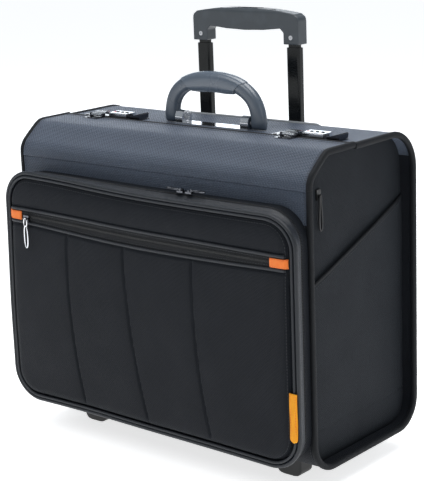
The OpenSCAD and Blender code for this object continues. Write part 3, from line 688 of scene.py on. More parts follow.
def row_tree(name, across=None):
    """Rods set along a line: stitches follow it, zip teeth lie across it."""
    tree = bpy.data.node_groups.new(name, "GeometryNodeTree")
    face = tree.interface
    face.new_socket("Line", in_out="INPUT", socket_type="NodeSocketGeometry")
    for label, value in (("Length", 0.0027), ("Pitch", 0.0038), ("Radius", 0.0003), ("Lean", 0.06)):
        face.new_socket(label, in_out="INPUT", socket_type="NodeSocketFloat").default_value = value
    face.new_socket("Seed", in_out="INPUT", socket_type="NodeSocketInt").default_value = 3
    face.new_socket("Finish", in_out="INPUT", socket_type="NodeSocketMaterial")
    face.new_socket("Row", in_out="OUTPUT", socket_type="NodeSocketGeometry")
    n, link = tree.nodes, tree.links
    gi, go = n.new("NodeGroupInput"), n.new("NodeGroupOutput")
    curve = n.new("GeometryNodeMeshToCurve")
    link.new(gi.outputs["Line"], curve.inputs[0])
    points = n.new("GeometryNodeCurveToPoints")
    points.mode = "LENGTH"
    link.new(curve.outputs[0], points.inputs["Curve"])
    link.new(gi.outputs["Pitch"], points.inputs["Length"])
    rod = n.new("GeometryNodeMeshCylinder")
    rod.inputs["Vertices"].default_value = 6
    rod.inputs["Side Segments"].default_value = 3
    link.new(gi.outputs["Radius"], rod.inputs["Radius"])
    link.new(gi.outputs["Length"], rod.inputs["Depth"])
    # The ends of a rod are drawn in, so that it dips into the cloth.
    pos, sep = n.new("GeometryNodeInputPosition"), n.new("ShaderNodeSeparateXYZ")
    link.new(pos.outputs[0], sep.inputs[0])
    far = maths(tree, "DIVIDE", maths(tree, "ABSOLUTE", sep.outputs[2]), gi.outputs["Length"])
    thin = maths(tree, "SUBTRACT", 1.15, maths(tree, "MULTIPLY", far, 1.3))
    com = n.new("ShaderNodeCombineXYZ")
    link.new(maths(tree, "MULTIPLY", sep.outputs[0], thin), com.inputs[0])
    link.new(maths(tree, "MULTIPLY", sep.outputs[1], thin), com.inputs[1])
    link.new(sep.outputs[2], com.inputs[2])
    shape = n.new("GeometryNodeSetPosition")
    link.new(rod.outputs["Mesh"], shape.inputs["Geometry"])
    link.new(com.outputs[0], shape.inputs["Position"])
    copies = n.new("GeometryNodeInstanceOnPoints")
    link.new(points.outputs["Points"], copies.inputs["Points"])
    link.new(shape.outputs[0], copies.inputs["Instance"])
    align = n.new("FunctionNodeAlignRotationToVector")
    align.axis = "Z"
    if across is None:
        link.new(points.outputs["Tangent"], align.inputs["Vector"])
    else:
        align.inputs["Vector"].default_value = across
    link.new(align.outputs[0], copies.inputs["Rotation"])
    wobble = n.new("FunctionNodeRandomValue")
    wobble.data_type = "FLOAT_VECTOR"
    link.new(gi.outputs["Seed"], wobble.inputs["Seed"])
    spread = n.new("ShaderNodeCombineXYZ")
    less = n.new("ShaderNodeCombineXYZ")
    for i in (0, 1):
        link.new(gi.outputs["Lean"], spread.inputs[i])
        link.new(maths(tree, "MULTIPLY", gi.outputs["Lean"], -1.0), less.inputs[i])
    link.new(less.outputs[0], wobble.inputs[0])
    link.new(spread.outputs[0], wobble.inputs[1])
    turn = n.new("GeometryNodeRotateInstances")
    link.new(copies.outputs[0], turn.inputs["Instances"])
    link.new(wobble.outputs[0], turn.inputs["Rotation"])
    real = n.new("GeometryNodeRealizeInstances")
    link.new(turn.outputs[0], real.inputs[0])
    smooth = n.new("GeometryNodeSetShadeSmooth")
    link.new(real.outputs[0], smooth.inputs[0])
    paint = n.new("GeometryNodeSetMaterial")
    link.new(smooth.outputs[0], paint.inputs["Geometry"])
    link.new(gi.outputs["Finish"], paint.inputs["Material"])
    link.new(paint.outputs[0], go.inputs[0])
    return tree


def row_of(name, lines, tree, body, slot, finish, length, pitch, radius, lean=0.06, closed=False):
    """Bakes rods along several lines into one plain mesh on one body."""
    verts, edges = [], []
    for line in lines:
        line = [tuple(p) for p in line]
        k = len(verts)
        verts += line
        edges += [(k + i, k + i + 1) for i in range(len(line) - 1)]
        if closed:
            edges.append((k + len(line) - 1, k))
    mesh = bpy.data.meshes.new(name)
    mesh.from_pydata([tuple(v) for v in place(verts)], edges, [])
    obj = bpy.data.objects.new(name, mesh)
    bpy.context.scene.collection.objects.link(obj)
    mod = obj.modifiers.new("row", "NODES")
    mod.node_group = tree
    ids = {s.name: s.identifier for s in tree.interface.items_tree if s.in_out == "INPUT"}
    values = {"Length": length, "Pitch": pitch, "Radius": radius, "Lean": lean, "Finish": MATS[finish]}
    for label, value in values.items():
        mod[ids[label]] = value
    baked(obj)
    if len(obj.data.polygons) == 0:
        raise RuntimeError(f"{name} came out empty")
    return settle(obj, body, slot)


ROWS = {}


def stitches(name, lines, body, slot="binding_tape", finish="sewing thread", closed=False, length=None, pitch=None):
    t = trim()
    return row_of(name, lines, ROWS["along"], body, slot, finish, length or t.stitch, pitch or t.gap, t.thread,
                  closed=closed)


# ---------------------------------------------------------------- operators


class CASE_OT_stage(bpy.types.Operator):
    """Floor, backdrop light, softboxes and camera"""

    bl_idname = "case.stage"
    bl_label = "Stage"

    def softbox(self, name, where, to, size, power, tint=(1, 1, 1)):
        light = bpy.data.lights.new(name, "AREA")
        light.shape = "RECTANGLE"
        light.size, light.size_y = size
        light.energy = power
        light.color = tint
        obj = bpy.data.objects.new(name, light)
        obj.location = where
        obj.rotation_euler = (Vector(to) - Vector(where)).to_track_quat("-Z", "Y").to_euler()
        bpy.context.scene.collection.objects.link(obj)

    def execute(self, context):
        s = context.scene.case_stage
        world = context.scene.world or bpy.data.worlds.new("studio")
        context.scene.world = world
        world.use_nodes = True
        back = world.node_tree.nodes["Background"]
        back.inputs["Color"].default_value = (0.84, 0.92, 1.0, 1)
        back.inputs["Strength"].default_value = s.room
        bpy.ops.mesh.primitive_plane_add(size=40.0, location=(0, 0, CAD_BOX[0][2] - 0.0003))
        floor = context.object
        floor.name = "floor"
        f = Finish("pale floor", (0.93, 0.93, 0.93), 0.75, Specular_IOR_Level=0.0, Emission_Color=(1, 1, 1, 1),
                   Emission_Strength=s.table)
        g = f.use("Moulded grain", Scale=60.0)
        f.tint(maths(f.tree, "MULTIPLY", g.outputs["Blotch"], 0.25), (0.96, 0.96, 0.96))
        dress(floor, f.mat)
        self.softbox("top light", (0.15, 0.35, 1.9), (0, 0.0, 0.3), (1.7, 1.2), s.key)
        self.softbox("front light", (-0.5, -1.6, 1.9), (0, 0, 0.25), (1.4, 1.2), s.fill)
        self.softbox("end light", (2.2, -0.2, 1.0), (0, 0, 0.25), (1.1, 1.1), s.rim)
        self.softbox("back light", (-2.0, 2.4, 1.15), (0, 0, 0.40), (2.6, 0.7), s.back, (0.90, 0.95, 1.0))
        yaw, pitch, roll = (math.radians(a) for a in CAMERA_TURN)
        target = Vector(CAMERA_TARGET)
        back_dir = Vector((math.sin(yaw) * math.cos(pitch), -math.cos(yaw) * math.cos(pitch), math.sin(pitch)))
        right = Vector((math.cos(yaw), math.sin(yaw), 0))
        up = right.cross(-back_dir)
        axis_x = right * math.cos(roll) + up * math.sin(roll)
        axis_y = up * math.cos(roll) - right * math.sin(roll)
        cam = bpy.data.cameras.new("view")
        cam.lens, cam.sensor_width, cam.sensor_fit = s.lens, 36.0, "VERTICAL"
        cam.sensor_height = 36.0
        cam.clip_start, cam.clip_end = 0.05, 50
        obj = bpy.data.objects.new("view", cam)
        m = Matrix((axis_x, axis_y, back_dir)).transposed().to_4x4()
        m.translation = target + back_dir * CAMERA_REACH
        obj.matrix_world = m
        context.scene.collection.objects.link(obj)
        context.scene.camera = obj
        context.scene.view_settings.view_transform = "Standard"
        return {"FINISHED"}


class CASE_OT_wrap(bpy.types.Operator):
    """Cloth-covered wrap: front, underside, back and rear top in one piece"""

    bl_idname = "case.wrap"
    bl_label = "Body wrap"

    def execute(self, context):
        line, out = side_profile()
        half = [COLLAR_X, *WHEEL_X, PANEL_X, BODY_X]
        xs = spaced([-x for x in reversed(half)] + half, 7.0)
        run = np.concatenate([[0], np.cumsum(np.linalg.norm(np.diff(line, axis=0), axis=1))])
        p = np.zeros((len(line), len(xs), 3))
        p[..., 0] = xs[None]
        for i, (y, z) in enumerate(line):
            mid = 1 - (xs / BODY_X) ** 2
            rear = math.sin(math.pi * min(max((z - LOW_R) / (CASE_H - TOP_R - LOW_R), 0), 1)) if y > CASE_D - 1 else 0
            under = -0.8 * math.sin(math.pi * (y - LOW_R) / (CASE_D - 2 * LOW_R)) if z < 0.1 else 0
            hard = 1.0 if (z > CASE_H - 1 and y < 130) or (y < 1 and z > POCKET_Z1) else 0.0
            lift = ((rear * cloth().slack * 1.3 + under * -1) * mid
                    + 0.35 * (1 - hard) * wave(xs, run[i]) * np.minimum(1, mid * 3))
            p[i, :, 1] = y + out[i, 0] * lift
            p[i, :, 2] = z + out[i, 1] * lift

        def solid(c):
            wheel = WHEEL_X[0] < abs(c[0]) < WHEEL_X[1] and c[1] > WHEEL_Y and c[2] < WHEEL_Z
            collar = abs(c[0]) < COLLAR_X and COLLAR_Y[0] < c[1] < COLLAR_Y[1] and c[2] > COLLAR_Z
            return not wheel and not collar

        wrap = grid("body_wrap", p, keep=solid, centre=(0, CASE_D / 2, CASE_H / 2))
        dress(wrap, MATS["body cloth"], MATS["sheen-painted top cloth"], MATS["lining"])
        # Faces on the roof, and the strip of the front wall above the pocket, take material 1: painted sheen, the body
        # cloth painted lighter and bluer.
        for f in wrap.data.polygons:
            roof = f.center.z > BODY_Z + (CASE_H - 34) * MM and f.center.y > FRONT_Y + 60 * MM
            painted_sheen_brow = f.center.z > BODY_Z + (POCKET_Z1 - 25) * MM and f.center.y < FRONT_Y + 1.5 * MM
            f.material_index = 1 if roof or painted_sheen_brow else 0
        thicken(wrap, WALL - 0.2)
        inner = (PANEL_X - WALL) * MM
        for f in wrap.data.polygons:
            c = f.center
            depth = Vector((0, CASE_D / 2 * MM + FRONT_Y - c.y, CASE_H / 2 * MM + BODY_Z - c.z))
            if abs(c.x) < inner and f.normal.dot(depth.normalized()) > 0.25:
                f.material_index = 2
        settle(wrap, "case", "case_fabric", "front_wall", "bottom_panel", "rear_wall", "rear_top_board")
        return {"FINISHED"}


def bound_edge(name, line, out, sign):
    """Ribbed binding folded over a cloth edge that runs along a (y, z) line."""
    run = np.concatenate([[0], np.cumsum(np.linalg.norm(np.diff(line, axis=0), axis=1))])
    step = trim().rib / 2
    s = np.arange(0, run[-1], step)
    y, z = np.interp(s, run, line[:, 0]), np.interp(s, run, line[:, 1])
    oy, oz = np.interp(s, run, out[:, 0]), np.interp(s, run, out[:, 1])
    size = np.hypot(oy, oz)
    oy, oz = oy / size, oz / size
    ribs = 1 + 0.030 * np.where(np.arange(len(s)) % 2, 1, -1)
    section = oval(3.35, 3.75, 14, 0.72)[None] * ribs[:, None, None]
    mid = sign * (HALF - 3.0)
    path = np.stack([np.full(len(s), mid), y - oy * 2.2, z - oz * 2.2], 1)
    side = np.tile([1.0, 0, 0], (len(s), 1))
    up = np.stack([np.zeros(len(s)), oy, oz], 1)
    obj = sweep(name, path, side, up, section)
    return dress(obj, MATS["binding tape"])


class CASE_OT_ends(bpy.types.Operator):
    """Recessed end panels with their slip pockets, and the bound rims"""

    bl_idname = "case.ends"
    bl_label = "Ends"

    def limits(self, y, inset):
        """Lowest and highest point of the end panel at each y."""
        d, h = CASE_D, CASE_H
        r, t = LOW_R - inset, TOP_R - inset
        front, rear = np.maximum(LOW_R - y, 0), np.maximum(y - (d - LOW_R), 0)
        bottom = LOW_R - np.sqrt(np.maximum(r * r - np.maximum(front, rear) ** 2, 0))
        back = np.maximum(y - (d - TOP_R), 0)
        top = h - TOP_R + np.sqrt(np.maximum(t * t - back ** 2, 0))
        flap = np.interp(y, [4.8, 7.6, 31.5, 36, 40, EDGE_Y - 10.5, EDGE_Y - 10, EDGE_Y + 6],
                         [SEAM_Z + 6, SEAM_Z + 12.5, ROOF_Z - 8, ROOF_Z - 5.2, ROOF_Z - 4.8, ROOF_Z - 4.8,
                           h - 8, h - 4])
        return bottom, np.minimum(top, flap)

    def skin(self, name, sign, inset, top_line, depth, thickness, mats, groove=None):
        y = spaced([inset, inset + 6, CASE_D - inset - 6, CASE_D - inset], 3.2)
        y = np.concatenate([[inset + 0.02, inset + 1.2], y[1:-1], [CASE_D - inset - 1.2, CASE_D - inset - 0.02]])
        bottom, top = self.limits(y, inset)
        if top_line is not None:
            top = np.minimum(top, top_line(y))
        rows = 110
        v = np.linspace(0, 1, rows)
        yy = np.repeat(y[None], rows, 0)
        zz = bottom[None] + (top - bottom)[None] * v[:, None]
        x = depth(yy, zz)
        if groove:
            x = x - 1.0 * np.exp(-((zz - groove) / 1.3) ** 2)
        outer = np.stack([sign * x, yy, zz], 2)
        obj = grid(name, outer, centre=(0, CASE_D / 2, CASE_H / 2), uv_plane=(1, 2))
        dress(obj, *mats)
        return thicken(obj, thickness, inner=len(mats) - 1)

    def execute(self, context):
        line, out = side_profile()
        line, out = np.vstack([line, [EDGE_Y + 1.0, CASE_H]]), np.vstack([out, out[-1:]])

        def slash(y):
            return SLASH_Z[0] + y * (SLASH_Z[1] - SLASH_Z[0]) / CASE_D

        for side, sign in (("left", -1), ("right", 1)):
            def back(y, z):
                edge = np.minimum.reduce([y - WALL, CASE_D - WALL - y, z - WALL, CASE_H - 6 - z])
                return PANEL_X - 0.6 + 1.6 * (1 - np.exp(-np.maximum(edge, 0) / 30)) + 0.35 * wave(y * 1.4, z)

            def front(y, z):
                edge = np.minimum.reduce([y - WALL, CASE_D - WALL - y, z - WALL])
                near = np.exp(-np.maximum(slash(y) - z, 0) / 26)
                middle = np.sin(np.pi * np.clip((y - 8) / (CASE_D - 16), 0, 1))
                return (PANEL_X + 1.2 + 3.0 * (1 - np.exp(-np.maximum(edge, 0) / 16))
                        + 1.5 * near * middle + 0.5 * wave(y, z * 1.3))

            panel = self.skin(f"end_panel_cloth_{side}", sign, WALL - 0.4, None, back, 3.0,
                              [MATS["end cloth"], MATS["lining"]])
            settle(panel, "case", "case_fabric", f"end_panel_{side}")
            pocket = self.skin(f"end_slip_pocket_{side}", sign, WALL - 0.2, slash, front, 1.3,
                               [MATS["end cloth"]], groove=44)
            settle(pocket, "case", "case_fabric", *(["end_slip_pockets"] if sign > 0 else []))
            y = np.linspace(WALL + 1, CASE_D - WALL - 1, 90)
            path = np.stack([sign * (front(y, slash(y)) - 0.4), y, slash(y)], 1)
            along = np.array([0, CASE_D, SLASH_Z[1] - SLASH_Z[0]])
            along /= np.linalg.norm(along)
            hem = sweep(f"slip_hem_{side}", path, np.tile([sign, 0, 0], (90, 1)),
                        np.tile([0, -along[2], along[1]], (90, 1)),
                        oval(1.15, 1.9, 10, 0.8))
            dress(hem, MATS["binding tape"])
            settle(hem, "case", "binding_tape")
            rim = bound_edge(f"rim_binding_{side}", line, out, sign)
            settle(rim, "case", "binding_tape", *(["rim_tape"] if sign > 0 else []))
        stitch = []
        for sign in (-1, 1):
            y = np.linspace(WALL + 4, CASE_D - WALL - 4, 60)
            z = slash(y) - 5.0
            stitch.append(np.stack([sign * (front(y, z) + 0.10), y, z], 1))
            inner, normal = side_profile()
            raised = inner + normal * 0.15
            stitch.append(np.stack([np.full(len(inner), sign * (HALF - 8.3)), raised[:, 0], raised[:, 1]], 1))
        stitches("end_stitches", stitch, "case")
        return {"FINISHED"}


def flap_profile():
    """(y, z) line of the flap with rounded bends, and its outward normals."""
    corner = np.array([(0, SEAM_Z - 5), (0, SEAM_Z), (0.6, SEAM_Z + 8), (5, SEAM_Z + 16), (17, SEAM_Z + 26.2),
                       (29, ROOF_Z - 3.9), (34.5, ROOF_Z - 0.9), (41, ROOF_Z), (60, ROOF_Z - 0.1),
                       (75, ROOF_Z - 0.1), (EDGE_Y, ROOF_Z)], float)
    d = np.concatenate([[0], np.cumsum(np.linalg.norm(np.diff(corner, axis=0), axis=1))])
    s = np.linspace(0, d[-1], 70)
    p = np.stack([np.interp(s, d, corner[:, 0]), np.interp(s, d, corner[:, 1])], 1)
    for _ in range(2):
        p[1:-1] = (p[:-2] + 2 * p[1:-1] + p[2:]) / 4
    t = np.gradient(p, axis=0)
    t /= np.linalg.norm(t, axis=1)[:, None]
    n = np.stack([-t[:, 1], t[:, 0]], 1)
    return p, n


class CASE_OT_flap(bpy.types.Operator):
    """Folding front flap: cloth over board, bound ends and a hemmed rear edge"""

    bl_idname = "case.flap"
    bl_label = "Flap"

    def execute(self, context):
        line, out = flap_profile()
        xs = spaced([-BODY_X, -PANEL_X, PANEL_X, BODY_X], 7.0)
        p = np.zeros((len(line), len(xs), 3))
        p[..., 0] = xs[None]
        for i, (y, z) in enumerate(line):
            slant = math.exp(-((y - 17) / 9) ** 2)
            loose = min(1.0, max(i - 2, 0) / 6) * (1.0 if y < 52 else 0.25)
            hollow = -1.3 * slant * (1 - (xs / BODY_X) ** 4)
            proud = 0.7 * math.exp(-(max(i - 2, 0) / 3) ** 2)
            lift = (hollow + 0.30 * wave(xs, i * 2.2)) * loose + proud
            p[i, :, 1] = y + out[i, 0] * lift
            p[i, :, 2] = z + out[i, 1] * lift
        flap = grid("flap_cloth", p[2:], centre=(0, 90, 300))
        # The flap's cloth carries painted sheen: the body's nylon painted lighter and bluer.
        dress(flap, MATS["sheen-painted top cloth"], MATS["lining"])
        thicken(flap, WALL - 0.2, inner=1)
        place([(0, 0, SEAM_Z - 3)])[0]
        place([(0, 0, SEAM_Z + 9)])[0]
        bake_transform(flap)
        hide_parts("flap_panel")
        hem_x = np.linspace(-BODY_X + 1, BODY_X - 1, 150)
        path = np.stack([hem_x, np.full(150, EDGE_Y - 2.2),
                         np.full(150, ROOF_Z - 0.75) + 0.12 * wave(hem_x * 2, hem_x)], 1)
        hem = sweep("flap_hem", path, np.tile([0, 1.0, 0], (150, 1)), np.tile([0, 0, 1.0], (150, 1)),
                    oval(3.2, 1.25, 12, 0.8))
        dress(hem, MATS["binding tape"])
        settle(hem, "flap", "binding_tape", "flap_tape")
        for side, sign in (("left", -1), ("right", 1)):
            rim = bound_edge(f"flap_binding_{side}", line[3:], out[3:], sign)
            settle(rim, "flap", "binding_tape")
        xs = np.linspace(-PANEL_X - 8, PANEL_X + 8, 80)
        rows = [np.stack([xs, np.full(80, EDGE_Y - 6), np.full(80, ROOF_Z + 0.12)], 1),
                np.stack([xs, np.full(80, EDGE_Y - 12), np.full(80, ROOF_Z + 0.12)], 1)]
        raised = line[8:] + out[8:] * 0.15
        rows += [np.stack([np.full(len(raised), s * (HALF - 8.3)), raised[:, 0], raised[:, 1]], 1) for s in (-1, 1)]
        stitches("flap_stitches", rows, "flap")
        return {"FINISHED"}


def quilt_lines(z):
    """x of the three sewn channels at a height."""
    z = np.asarray(z, float)
    out = []
    for top, mid, base in ((-117.0, -116.0, -99.0), (-23.5, -17.0, 6.0), (83.6, 85.6, 103.5)):
        t = np.clip((234 - z) / 204, 0.0, 1.15)
        out.append(top + (mid - top) * 3.2 * t * (1 - t) * 0.9 + (base - top) * t ** 2.1)
    return out


def zip_gap(x):
    """Half openings of the zip's recess above and below its middle."""
    span = 1 - np.clip(np.abs(x) / ZIP_X, 0, 1) ** 2
    return 7.6 + 1.2 * span, 7.6 + 3.6 * span


def panel_height(x, z):
    """How far the padded front panel stands off its back board."""
    d = pocket_inside(x, z) - 10.4
    pad = (PANEL_Y - PAD_Y) + 0.3
    edge = 1 - np.exp(-np.maximum(d, 0) / 2.6)
    h = pad * edge
    h -= 5.6 * np.exp(-np.maximum(POCKET_Z1 - 10.4 - z, 0) / 21.0) * edge
    lower = np.sin(np.pi * np.clip((z - 22) / (ZIP_Z - 12 - 22), 0, 1)) ** 0.75
    h += cloth().crown * (1 - np.abs(x / POCKET_X) ** 3) * lower
    upper = np.sin(np.pi * np.clip((z - ZIP_Z - 8) / (POCKET_Z1 - 9 - ZIP_Z - 8), 0, 1)) ** 0.8
    h += 1.8 * upper * (1 - np.abs(x / POCKET_X) ** 4)
    above_gap, below_gap = zip_gap(x)
    below = 1 / (1 + np.exp((z - (ZIP_Z - below_gap - 5)) / 1.2))
    above = np.clip((z - 26) / 10, 0, 1)
    for q in quilt_lines(z):
        h -= (2.3 * np.exp(-((x - q) / 1.25) ** 2) + 1.2 * np.exp(-np.abs(x - q) / 8.0)) * below * above
    inside = 1 / (1 + np.exp((np.abs(x) - ZIP_X - 18) / 1.5))
    up, down = z - ZIP_Z - above_gap, ZIP_Z - below_gap - z
    h -= 2.6 / (1 + np.exp(np.maximum(up, down) / 0.5)) * inside
    for over in (up, down):
        h -= 1.9 * np.exp(-((over - 3.6) / 1.2) ** 2) * inside
        h -= 0.9 * np.exp(-np.maximum(over - 3.6, 0) / 7.0) * inside * (over > 0)
    h += 0.22 * wave(x * 1.5, z * 1.2) * edge
    return np.maximum(h, 0.5)


class CASE_OT_pocket(bpy.types.Operator):
    """Zipped front pocket: gussets, double piping and the padded, quilted panel"""

    bl_idname = "case.pocket"
    bl_label = "Front pocket"

    def band(self, name, y0, y1, inset0, inset1, thickness, mat, waist=0.0):
        """A strip around the pocket from y0 to y1."""
        rows = []
        for t in np.linspace(0, 1, 7):
            y = y0 + (y1 - y0) * t
            pts = pocket_line(inset0 + (inset1 - inset0) * t + waist * math.sin(math.pi * t))[0]
            rows.append(np.stack([pts[:, 0], np.full(len(pts), y), pts[:, 1]], 1))
        p = soften_pocket(np.array(rows))
        obj = grid(name, p, wrap_b=True, centre=(0, (y0 + y1) / 2, (POCKET_Z0 + POCKET_Z1) / 2))
        dress(obj, mat)
        return thicken(obj, thickness)

    def bead(self, name, inset, y, a, b, mat):
        pts, out = pocket_line(inset, 3.0)
        path = soften_pocket(np.stack([pts[:, 0], np.full(len(pts), y), pts[:, 1]], 1))
        side = np.tile([0, -1.0, 0], (len(pts), 1))
        up = np.stack([out[:, 0], np.zeros(len(pts)), out[:, 1]], 1)
        return dress(sweep(name, path, side, up, oval(a, b, 12, 0.92), closed=True), mat)

    def execute(self, context):
        settle(self.band("pocket_gusset_rear_cloth", 0.2, TRACK_Y + 2.2, 1.5, 0.4, 2.2, MATS["body cloth"], 0.8),
               "case", "case_fabric", "pocket_rear_gusset")
        settle(self.band("pocket_zip_tape_rear", TRACK_Y + 2.3, TRACK_Y + 0.7, 0.9, 0.9, 1.4, MATS["zip tape"]),
               "case", "zip_tape", "pocket_zip_track")
        settle(self.band("pocket_gusset_front_cloth", TRACK_Y - 0.7, PANEL_Y + 0.4, 0.4, 0.6, 2.2,
                         MATS["piping cloth"], 0.9),
               "pocket_panel", "case_fabric", "pocket_front_gusset")
        settle(self.bead("pocket_piping_outer", 1.9, PANEL_Y - 0.4, 2.9, 2.4, MATS["piping cloth"]),
               "pocket_panel", "binding_tape", "pocket_piping")
        settle(self.bead("pocket_piping_inner", 6.6, PANEL_Y - 1.4, 2.5, 2.0, MATS["piping cloth"]),
               "pocket_panel", "binding_tape")
        self.panel()
        self.zip_band()
        self.tabs()
        return {"FINISHED"}

    def panel(self):
        edge = 9.6
        hx, r = POCKET_X - edge, POCKET_R - edge
        z0, z1 = POCKET_Z0 + edge, POCKET_Z1 - edge
        ends = hx - r * (1 - np.cos(np.linspace(0, math.pi / 2, 16)))
        flat = spaced([-(hx - r), hx - r], 1.8)
        xs = np.unique(np.round(np.concatenate([-ends, flat, ends]), 4))
        over = np.maximum(np.abs(xs) - (hx - r), 0)
        bow = r - np.sqrt(np.maximum(r * r - over ** 2, 0))
        v = np.concatenate([[0, 0.004], np.linspace(0.010, 0.990, 200), [0.996, 1]])
        zz = (z0 + bow)[None] + (z1 - z0 - 2 * bow)[None] * v[:, None]
        xx = np.repeat(xs[None], len(v), 0)
        yy = PANEL_Y - panel_height(xx, zz)
        front = soften_pocket(np.stack([xx, yy, zz], 2))
        obj = grid("pocket_panel_quilted", front, centre=(0, 100, 166), uv_plane=(0, 2))
        dress(obj, MATS["body cloth"])
        mod = obj.modifiers.new("back", "SOLIDIFY")
        mod.thickness = 2.0 * MM
        mod.offset = -1.0
        baked(obj)
        settle(obj, "pocket_panel", "case_fabric", "pocket_front_panel")
        stitch = []
        for k in range(3):
            z = np.linspace(30, ZIP_Z - 17, 60)
            x = quilt_lines(z)[k]
            y = PANEL_Y - panel_height(x, z) - 0.05
            stitch.append(soften_pocket(np.stack([x, y, z], 1)))
        stitches("quilt_stitches", stitch, "pocket_panel", slot="case_fabric", pitch=0.0034, length=0.0026)
        pts = pocket_line(13.2, 3.0)[0]
        y = PANEL_Y - panel_height(pts[:, 0], pts[:, 1]) - 0.08
        seam = soften_pocket(np.stack([pts[:, 0], y, pts[:, 1]], 1))
        stitches("panel_edge_stitches", [seam], "pocket_panel", slot="case_fabric", closed=True)

    def zip_band(self):
        xs = np.linspace(-ZIP_X - 17, ZIP_X + 17, 160)
        floor = PANEL_Y - panel_height(xs, np.full_like(xs, ZIP_Z))
        gaps = zip_gap(xs)
        out, rise = np.tile([0, -1.0, 0], (160, 1)), np.tile([0, 0, 1.0], (160, 1))

        def strip(label, dy, dz, section):
            return sweep(label, soften_pocket(np.stack([xs, floor + dy, ZIP_Z + dz], 1)), out, rise, section)

        welts = joined("front_zip_welts", [strip("welt", -1.5, s * (g + 0.6), oval(1.6, 1.9, 12, 0.85))
                                           for s, g in zip((1, -1), gaps)])
        dress(welts, MATS["piping cloth"])
        settle(welts, "pocket_panel", "case_fabric")
        halves = []
        for s, g in zip((1, -1), gaps):
            section = oval(0.45, 1.0, 10, 0.6)[None] * np.stack([np.ones(160), g / 2 - 0.4], 1)[:, None]
            halves.append(strip("tape", -0.30, s * (g / 2 + 0.2), section))
        tape = joined("front_zip_tape", halves)
        dress(tape, MATS["zip tape"])
        settle(tape, "pocket_panel", "zip_tape", "front_zip_track")
        mid = slice(6, -6)
        line = soften_pocket(np.stack([xs[mid], floor[mid] - 0.9, np.full(148, ZIP_Z)], 1))
        row_of("front_zip_teeth", [line], ROWS["up"], "pocket_panel", "zip_tape", "zip coil",
               0.0046, trim().tooth, 0.00062, lean=0.02)
        rows = [soften_pocket(np.stack([xs[mid], floor[mid] - 0.85, ZIP_Z + s * (g[mid] - 3.6)], 1))
                for s, g in zip((1, -1), gaps)]
        stitches("welt_stitches", rows, "pocket_panel", slot="case_fabric")
        pts = pocket_line(0.55, 3.0)[0]
        ring = soften_pocket(np.stack([pts[:, 0], np.full(len(pts), TRACK_Y + 0.6), pts[:, 1]], 1))
        row_of("pocket_zip_teeth", [ring], ROWS["depth"], "case", "zip_tape", "zip coil",
               0.0036, trim().tooth, 0.00055, lean=0.02, closed=True)

    def tabs(self):
        sewn = {"body": "pocket_panel", "slot": "orange_fabric", "finish": "tab thread",
                "pitch": 0.003, "length": 0.0022}
        parts, edge = [], []
        x0, x1 = ZIP_X - 1.5, POCKET_X - 9.6
        for sign in (-1, 1):
            xs = np.linspace(x0, x1, 16)
            zs = ZIP_Z + np.linspace(-5.6, 5.6, 12)
            xx, zz = np.meshgrid(xs, zs)
            base = PANEL_Y - panel_height(np.abs(xx), np.full_like(xx, ZIP_Z))
            puff = 1.5 * (1 - ((zz - ZIP_Z) / 6.4) ** 6) * (1 - ((xx - (x0 + x1) / 2) / 13) ** 8)
            tab = grid("tab", soften_pocket(np.stack([sign * xx, base - 1.9 - puff, zz], 2)),
                       centre=(0, 100, ZIP_Z), uv_plane=(0, 2))
            parts.append(thicken(tab, 1.4))
            for dz in (-4.4, 4.4):
                edge.append(soften_pocket(np.stack([sign * xs[1:-1], base[5, 1:-1] - 3.3, np.full(14, ZIP_Z + dz)], 1)))
        tabs = joined("orange_zip_tabs", parts)
        dress(tabs, MATS["tab cloth"])
        settle(tabs, "pocket_panel", "orange_fabric", "orange_tabs")
        stitches("tab_stitches", edge, **sewn)
        z0, z1, x0, x1 = POCKET_Z0 + 39.5, POCKET_Z0 + 98, POCKET_X - 12.0, POCKET_X - 1.6
        zs = np.linspace(z0, z1, 44)
        u = np.linspace(-1, 1, 11)
        taper = np.sqrt(np.clip(1 - np.clip((z0 + 4.8 - zs) / 4.9, 0, 1) ** 2, 0.02, 1))
        half = (x1 - x0) / 2 * taper
        xx = (x0 + x1) / 2 + u[None] * half[:, None]
        zz = np.repeat(zs[:, None], 11, 1)
        y = PANEL_Y - 5.0 - 0.9 * (1 - np.abs(u[None]) ** 4) - 0.25 * np.sin(zz / 7)
        tag = grid("orange_side_tag", soften_pocket(np.stack([xx, y, zz], 2)),
                   centre=(xx.mean(), 50, 79), uv_plane=(0, 2))
        thicken(tag, 1.6)
        dress(tag, MATS["tag cloth"])
        settle(tag, "pocket_panel", "orange_fabric")
        ring = []
        for side in (-1, 1):
            x = np.full(30, (x0 + x1) / 2 + side * 3.3)
            ring.append(soften_pocket(np.stack([x, np.full(30, PANEL_Y - 5.75), np.linspace(z0 + 5, z1 - 3, 30)], 1)))
        stitches("tag_stitches", ring, **sewn)


def handle_point(t):
    """Centre line of the carry handle: t runs from 0 at the right foot to 1 at the left."""
    a = math.pi * np.clip(t, 0, 1)
    x = HANDLE_X + LEG_X * np.sign(np.cos(a)) * np.abs(np.cos(a)) ** 0.90
    z = PIVOT_Z + ARCH_RISE * np.maximum(np.sin(a), 0) ** 0.76
    return x, z


